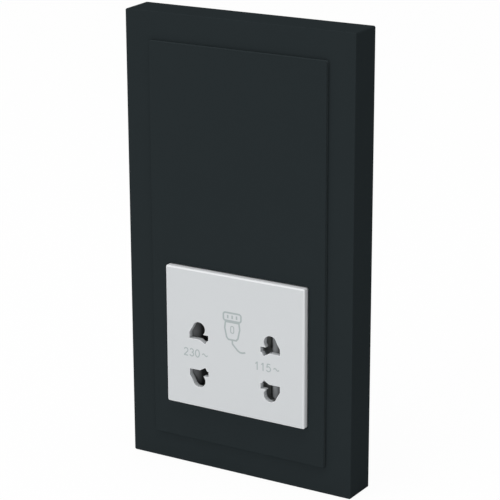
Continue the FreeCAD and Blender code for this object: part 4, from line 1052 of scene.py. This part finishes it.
head = [SHAVER_PLACE + Vector((a, HEAD_RISE + b)) for a, b in outline(*HEAD_SHAPE)]
ribbon(bm, head, SHAVER_LINE, closed=True)
for x in CUTTER_COLUMNS:
    ribbon(bm, [SHAVER_PLACE + point for point in line((x, CUTTER_LOW), (x, CUTTER_HIGH))], SHAVER_LINE)
ribbon(bm, [SHAVER_PLACE + point for point in SHAVER_BODY], SHAVER_LINE, closed=True, layer=1)
button = [SHAVER_PLACE + Vector((a, BUTTON_RISE + b)) for a, b in outline(*BUTTON_SHAPE)]
ribbon(bm, button, BUTTON_LINE, closed=True)
cord = []
for step in range(WAVE_STEPS + 1):
    share = step / WAVE_STEPS
    sway = CORD_SWING * share * math.sin(2 * math.pi * share)
    fall = CORD_DROP * math.sqrt(share)
    cord.append(SHAVER_PLACE + Vector((CORD_REACH * share * share, CORD_TOP - fall + sway)))
ribbon(bm, cord, SHAVER_LINE)
add_piece("outlet_print", mesh_from(bm, "outlet_print"), ["print_grey"], "base", [])

# %% [markdown]
# ## Screws
# Four pan-head screws hold the housing, two hold the core clamp, and three close the terminals. A screw is
# turned from a profile, and a driver recess is sunk into its head: a cross, or a slot on the terminals. The
# row tree puts each kind in its places: once for the columns, and once more for the rows.

# %% One screw
SCREW_STEPS = 24
# Shares of the shank's radius
TIP_R = 0.6
TIP_L = 0.5
# Shares of the head's radius
SHOULDER_R = 0.93
TOP_R = 0.8
SLOT_REACH = 0.72
SLOT_HALF = 0.14
CROSS_REACH = 0.58
CROSS_HALF = 0.15
# Shares of the head's height
SHOULDER_DROPS = (0.45, 0.15)
RECESS_DEPTH = 0.6


def circle(radius, y):
    """Circle round the Y axis, in millimetres."""
    angles = [2 * math.pi * step / SCREW_STEPS for step in range(SCREW_STEPS)]
    return [Vector((radius * math.cos(angle), y, radius * math.sin(angle))) for angle in angles]


def recess_outline(kind, radius):
    """Driver recess as (x, z) pairs, for a head of this radius."""
    if kind == "slot":
        reach = SLOT_REACH * radius
        half = SLOT_HALF * radius
        return [(reach, half), (-reach, half), (-reach, -half), (reach, -half)]
    reach = CROSS_REACH * radius
    half = CROSS_HALF * radius
    return [(reach, half), (half, half), (half, reach), (-half, reach), (-half, half), (-reach, half),
            (-reach, -half), (-half, -half), (-half, -reach), (half, -reach), (half, -half), (reach, -half)]


def screw_mesh(name, kind, shank_r, head_r, tip_y, seat_y, top_y):
    """Screw along Y, from its tip to the top of its head."""
    toward = 1 if top_y > tip_y else -1
    head_h = toward * abs(top_y - seat_y)
    low_drop, high_drop = SHOULDER_DROPS
    rings = [circle(TIP_R * shank_r, tip_y), circle(shank_r, tip_y + toward * TIP_L * shank_r),
             circle(shank_r, seat_y), circle(head_r, seat_y), circle(head_r, top_y - low_drop * head_h),
             circle(SHOULDER_R * head_r, top_y - high_drop * head_h), circle(TOP_R * head_r, top_y)]
    bm = bmesh.new()
    rows = skin(bm, rings)
    bm.faces.new(rows[0])
    recess = recess_outline(kind, head_r)
    floor_y = top_y - RECESS_DEPTH * head_h
    recess_rows = skin(bm, [[Vector((x, y, z)) for x, z in recess] for y in (top_y, floor_y)])
    bm.faces.new(recess_rows[1])
    edges = loop_edges(bm, rows[-1]) + loop_edges(bm, recess_rows[0])
    bmesh.ops.triangle_fill(bm, use_beauty=True, edges=edges, normal=(0, toward, 0))
    return mesh_from(bm, name)


print("points round a screw:", SCREW_STEPS)


# %% Screws in their places
def box_mm(node):
    """Lowest and highest corner of a CAD node in millimetres."""
    low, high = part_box(node)
    return low / MM, high / MM


def add_screws(node, driver, shank_r, head_r, head_h, columns, rows=1, head_back=True):
    """Screws of one CAD node in even columns and one or two rows, with heads at the back or the front."""
    low, high = box_mm(node)
    if head_back:
        screw = screw_mesh(node + "_one", driver, shank_r, head_r, low.y, high.y - head_h, high.y)
    else:
        screw = screw_mesh(node + "_one", driver, shank_r, head_r, high.y, low.y + head_h, low.y)
    corner = (low.x + head_r, 0, low.z + head_r)
    step_x = (high.x - low.x - 2 * head_r) / (columns - 1)
    step_z = high.z - low.z - 2 * head_r
    one_row = row_of(screw, columns, corner, (step_x, 0, 0), "zinc_steel")
    screws = row_of(one_row, rows, (0, 0, 0), (0, 0, step_z), "zinc_steel")
    add_piece(node + "_dressed", screws, ["zinc_steel"], "base", [node])


add_screws("housing_screws", "cross", shank_r=1.4, head_r=2.6, head_h=2.0, columns=2, rows=2)
add_screws("terminal_screws", "slot", shank_r=1.5, head_r=2.0, head_h=1.3, columns=3)
add_screws("clamp_screws", "cross", shank_r=1.2, head_r=2.0, head_h=1.4, columns=2, head_back=False)

# %% [markdown]
# ## Transformer
# The core is a stack of half-millimetre sheets, E against I, and the windings are turns of enamelled wire.
# In CAD both are plain blocks. Here one sheet and one turn are drawn, and the row tree stacks them, so that
# the vents and the open back of the housing show real edges and real wire.

# %% Laminations
SHEET_PITCH = 0.5
SHEET_T = 0.46
# The E's corners above its yoke: modules from the middle, and the legs' tops or the windows' floor
E_CORNERS = ((3, "top"), (2, "top"), (2, "floor"), (1, "floor"), (1, "top"),
             (-1, "top"), (-1, "floor"), (-2, "floor"), (-2, "top"), (-3, "top"))


def sheet_mesh(name, points, y):
    """Flat sheet with an outline of (x, z) points."""
    bm = bmesh.new()
    sides = [[Vector((x, depth, z)) for x, z in points] for depth in (y, y + SHEET_T)]
    rows = skin(bm, sides)
    bm.faces.new(rows[0])
    bm.faces.new(rows[1])
    return mesh_from(bm, name)


low, high = box_mm("core_e_stack")
module = (high.x - low.x) / 6
sheets = round((high.y - low.y) / SHEET_PITCH)
heights = {"top": high.z, "floor": low.z + module}
e_outline = [(low.x, low.z), (high.x, low.z)] + [(x * module, heights[level]) for x, level in E_CORNERS]
e_sheet = sheet_mesh("e_sheet", e_outline, low.y)
stack = row_of(e_sheet, sheets, (0, 0, 0), (0, SHEET_PITCH, 0), "core_steel")
add_piece("core_e_sheets", stack, ["core_steel"], "base", ["core_e_stack"])
low, high = box_mm("core_i_stack")
i_outline = [(low.x, low.z), (high.x, low.z), (high.x, high.z), (low.x, high.z)]
i_sheet = sheet_mesh("i_sheet", i_outline, low.y)
stack = row_of(i_sheet, sheets, (0, 0, 0), (0, SHEET_PITCH, 0), "core_steel")
add_piece("core_i_sheets", stack, ["core_steel"], "base", ["core_i_stack"])

# %% Windings
WIRES = {"primary_winding": 0.3, "secondary_winding": 0.42}
WIRE_SIDES = 8
WINDING_CORNER = 4.0
BORE_CORNER = 0.1
TUBE_WALL = 1.15     # from the core's middle leg to the wire, with the fit
TUBE_W = 2 * (module + TUBE_WALL)
TUBE_D = sheets * SHEET_PITCH + 2 * TUBE_WALL


def turn_mesh(name, width, depth, centre_y, wire):
    """One turn of wire round the bobbin, at z = 0."""
    path = [Vector(point) for point in outline(width - wire, depth - wire, WINDING_CORNER - wire / 2)]
    sections = []
    for index, point in enumerate(path):
        along = (path[(index + 1) % len(path)] - path[index - 1]).normalized()
        outward = Vector((along.y, -along.x))
        section = []
        for step in range(WIRE_SIDES):
            angle = 2 * math.pi * step / WIRE_SIDES
            spot = point + outward * wire / 2 * math.cos(angle)
            section.append(Vector((spot.x, centre_y + spot.y, wire / 2 * math.sin(angle))))
        sections.append(section)
    bm = bmesh.new()
    skin(bm, sections, closed=True)
    return mesh_from(bm, name)


def level_ring(width, depth, radius, centre_y, z):
    """Rectangle with round corners, level, round the bobbin."""
    return [Vector((a, centre_y + b, z)) for a, b in outline(width, depth, radius)]


for node, wire in WIRES.items():
    low, high = box_mm(node)
    width = high.x - low.x
    depth = high.y - low.y
    centre_y = (low.y + high.y) / 2
    turns = int((high.z - low.z) / wire)
    turn = turn_mesh(node + "_turn", width, depth, centre_y, wire)
    outer = row_of(turn, turns, (0, 0, low.z + wire / 2), (0, 0, wire), "enamelled_copper")
    bm = bmesh.new()
    full = (width - wire, depth - wire, WINDING_CORNER - wire / 2, centre_y)
    bore = (TUBE_W, TUBE_D, BORE_CORNER, centre_y)
    rings = [level_ring(*full, low.z), level_ring(*full, high.z),
             level_ring(*bore, high.z), level_ring(*bore, low.z)]
    skin(bm, rings, closed=True)
    winding = joined(node + "_turns", [outer, mesh_from(bm, node + "_inner_turns")])
    add_piece(node + "_turns", winding, ["enamelled_copper"], "base", [node])

# %% [markdown]
# ## Shutter springs
# A bent strip pushes each shutter shut. One end rests on a rib behind the outlet face, and the other
# follows the shutter, so the spring can't ride on either: it gets shorter.

# %% Shutter springs
SPRING_T = 0.3
SPRING_BENDS = 6
SPRING_STEPS = 72


def spring_mesh(name, start_x, end_x, y, z):
    """Wavy strip from one x to another, between two depths and two heights."""
    middle = (y[0] + y[1]) / 2
    swing = (y[1] - y[0] - SPRING_T) / 2
    sections = []
    for step in range(SPRING_STEPS + 1):
        share = step / SPRING_STEPS
        phase = math.pi * SPRING_BENDS * share
        place = Vector((start_x + (end_x - start_x) * share, middle + swing * math.sin(phase)))
        along = Vector((end_x - start_x, swing * math.pi * SPRING_BENDS * math.cos(phase))).normalized()
        across = along.orthogonal() * SPRING_T / 2
        one = place + across
        other = place - across
        sections.append([Vector((one.x, one.y, z[0])), Vector((other.x, other.y, z[0])),
                         Vector((other.x, other.y, z[1])), Vector((one.x, one.y, z[1]))])
    bm = bmesh.new()
    rows = skin(bm, sections)
    bm.faces.new(rows[0])
    bm.faces.new(rows[-1])
    return mesh_from(bm, name)


for node, joint, side in (("shutter_spring_230v", "left_shutter_slide", -1),
                          ("shutter_spring_115v", "right_shutter_slide", 1)):
    low, high = box_mm(node)
    fixed_x, moving_x = (low.x, high.x) if side < 0 else (high.x, low.x)
    inset = side * SPRING_T / 2
    mesh = spring_mesh(node + "_dressed", fixed_x - inset, moving_x + inset, (low.y, high.y), (low.z, high.z))
    spring = add_piece(node + "_dressed", mesh, ["spring_steel"], BODY_OF[node], [node])
    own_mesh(spring)

# %% [markdown]
# ## Softened edges
# No moulded or stamped edge is truly sharp. The remaining pieces have the right shape in CAD, so each is a
# copy of its node with the loose triangles merged, flat areas joined again, and the sharp edges rounded by
# a small bevel, which catches the light.

# %% Pieces with softened edges
MERGE = 0.00001
FLAT_ANGLE = math.radians(1)
EDGE_ANGLE = math.radians(40)
# Each node's bevel, in millimetres
SOFTENED = {"rear_housing": 0.25, "terminal_block": 0.2, "support_frame": 0.1, "contact_carrier": 0.08,
            "shutter_230v": 0.1, "shutter_115v": 0.1, "switch_230v": 0.12, "switch_115v": 0.12,
            "plunger_230v": 0.1, "plunger_115v": 0.1, "transformer_bobbin": 0.1, "thermal_cutout": 0.2,
            "core_clamp": 0.08, "terminal_live": 0.1, "terminal_neutral": 0.1, "terminal_earth": 0.1}


def softened(node, width):
    """Copy of a CAD node with its sharp edges rounded."""
    bm = bmesh.new()
    bm.from_mesh(frame["nodes"][node].data)
    bmesh.ops.remove_doubles(bm, verts=bm.verts, dist=MERGE)
    bmesh.ops.dissolve_limit(bm, angle_limit=FLAT_ANGLE, verts=bm.verts, edges=bm.edges)
    before = bm.calc_volume()
    sharp = [edge for edge in bm.edges if edge.is_manifold and edge.calc_face_angle() > EDGE_ANGLE]
    bmesh.ops.bevel(bm, geom=sharp, offset=width * MM, segments=2, profile=0.5, affect="EDGES")
    loose = [edge for edge in bm.edges if not edge.is_manifold]
    print(node, "volume kept", round(bm.calc_volume() / before, 4), "open edges", len(loose))
    for face in bm.faces:
        face.material_index = 0
    mesh = bpy.data.meshes.new(node + "_softened")
    bm.to_mesh(mesh)
    bm.free()
    return mesh


# The right shutter takes the lighter copy of its slot's grey: painted light
PAINTED_LIGHT_FINISH = {"shutter_115v": "lighter_painted_shutter"}
for node, width in SOFTENED.items():
    finish_name = PAINTED_LIGHT_FINISH.get(node, SLOT_OF[node])
    add_piece(node + "_softened", softened(node, width), [finish_name], BODY_OF[node], [node])

# %% [markdown]
# ## The pieces that keep their CAD shape
# Pieces whose CAD shape is right stay as they are, and only their finish changes.

# %% Finishes for the CAD pieces that stay
for name, node in frame["nodes"].items():
    if node.hide_render:
        continue
    node.data.materials.clear()
    node.data.materials.append(FINISHES[SLOT_OF[name]])
print("CAD pieces that stay:", sum(not node.hide_render for node in frame["nodes"].values()))

# %% [markdown]
# ## Sizes and the end
# Both boxes are printed, so that they can be compared: the dressed object has to stay inside the CAD
# box.

# %% Print the sizes and finish
low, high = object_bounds()
print("visual size in mm:", [round(side / MM, 2) for side in high - low])
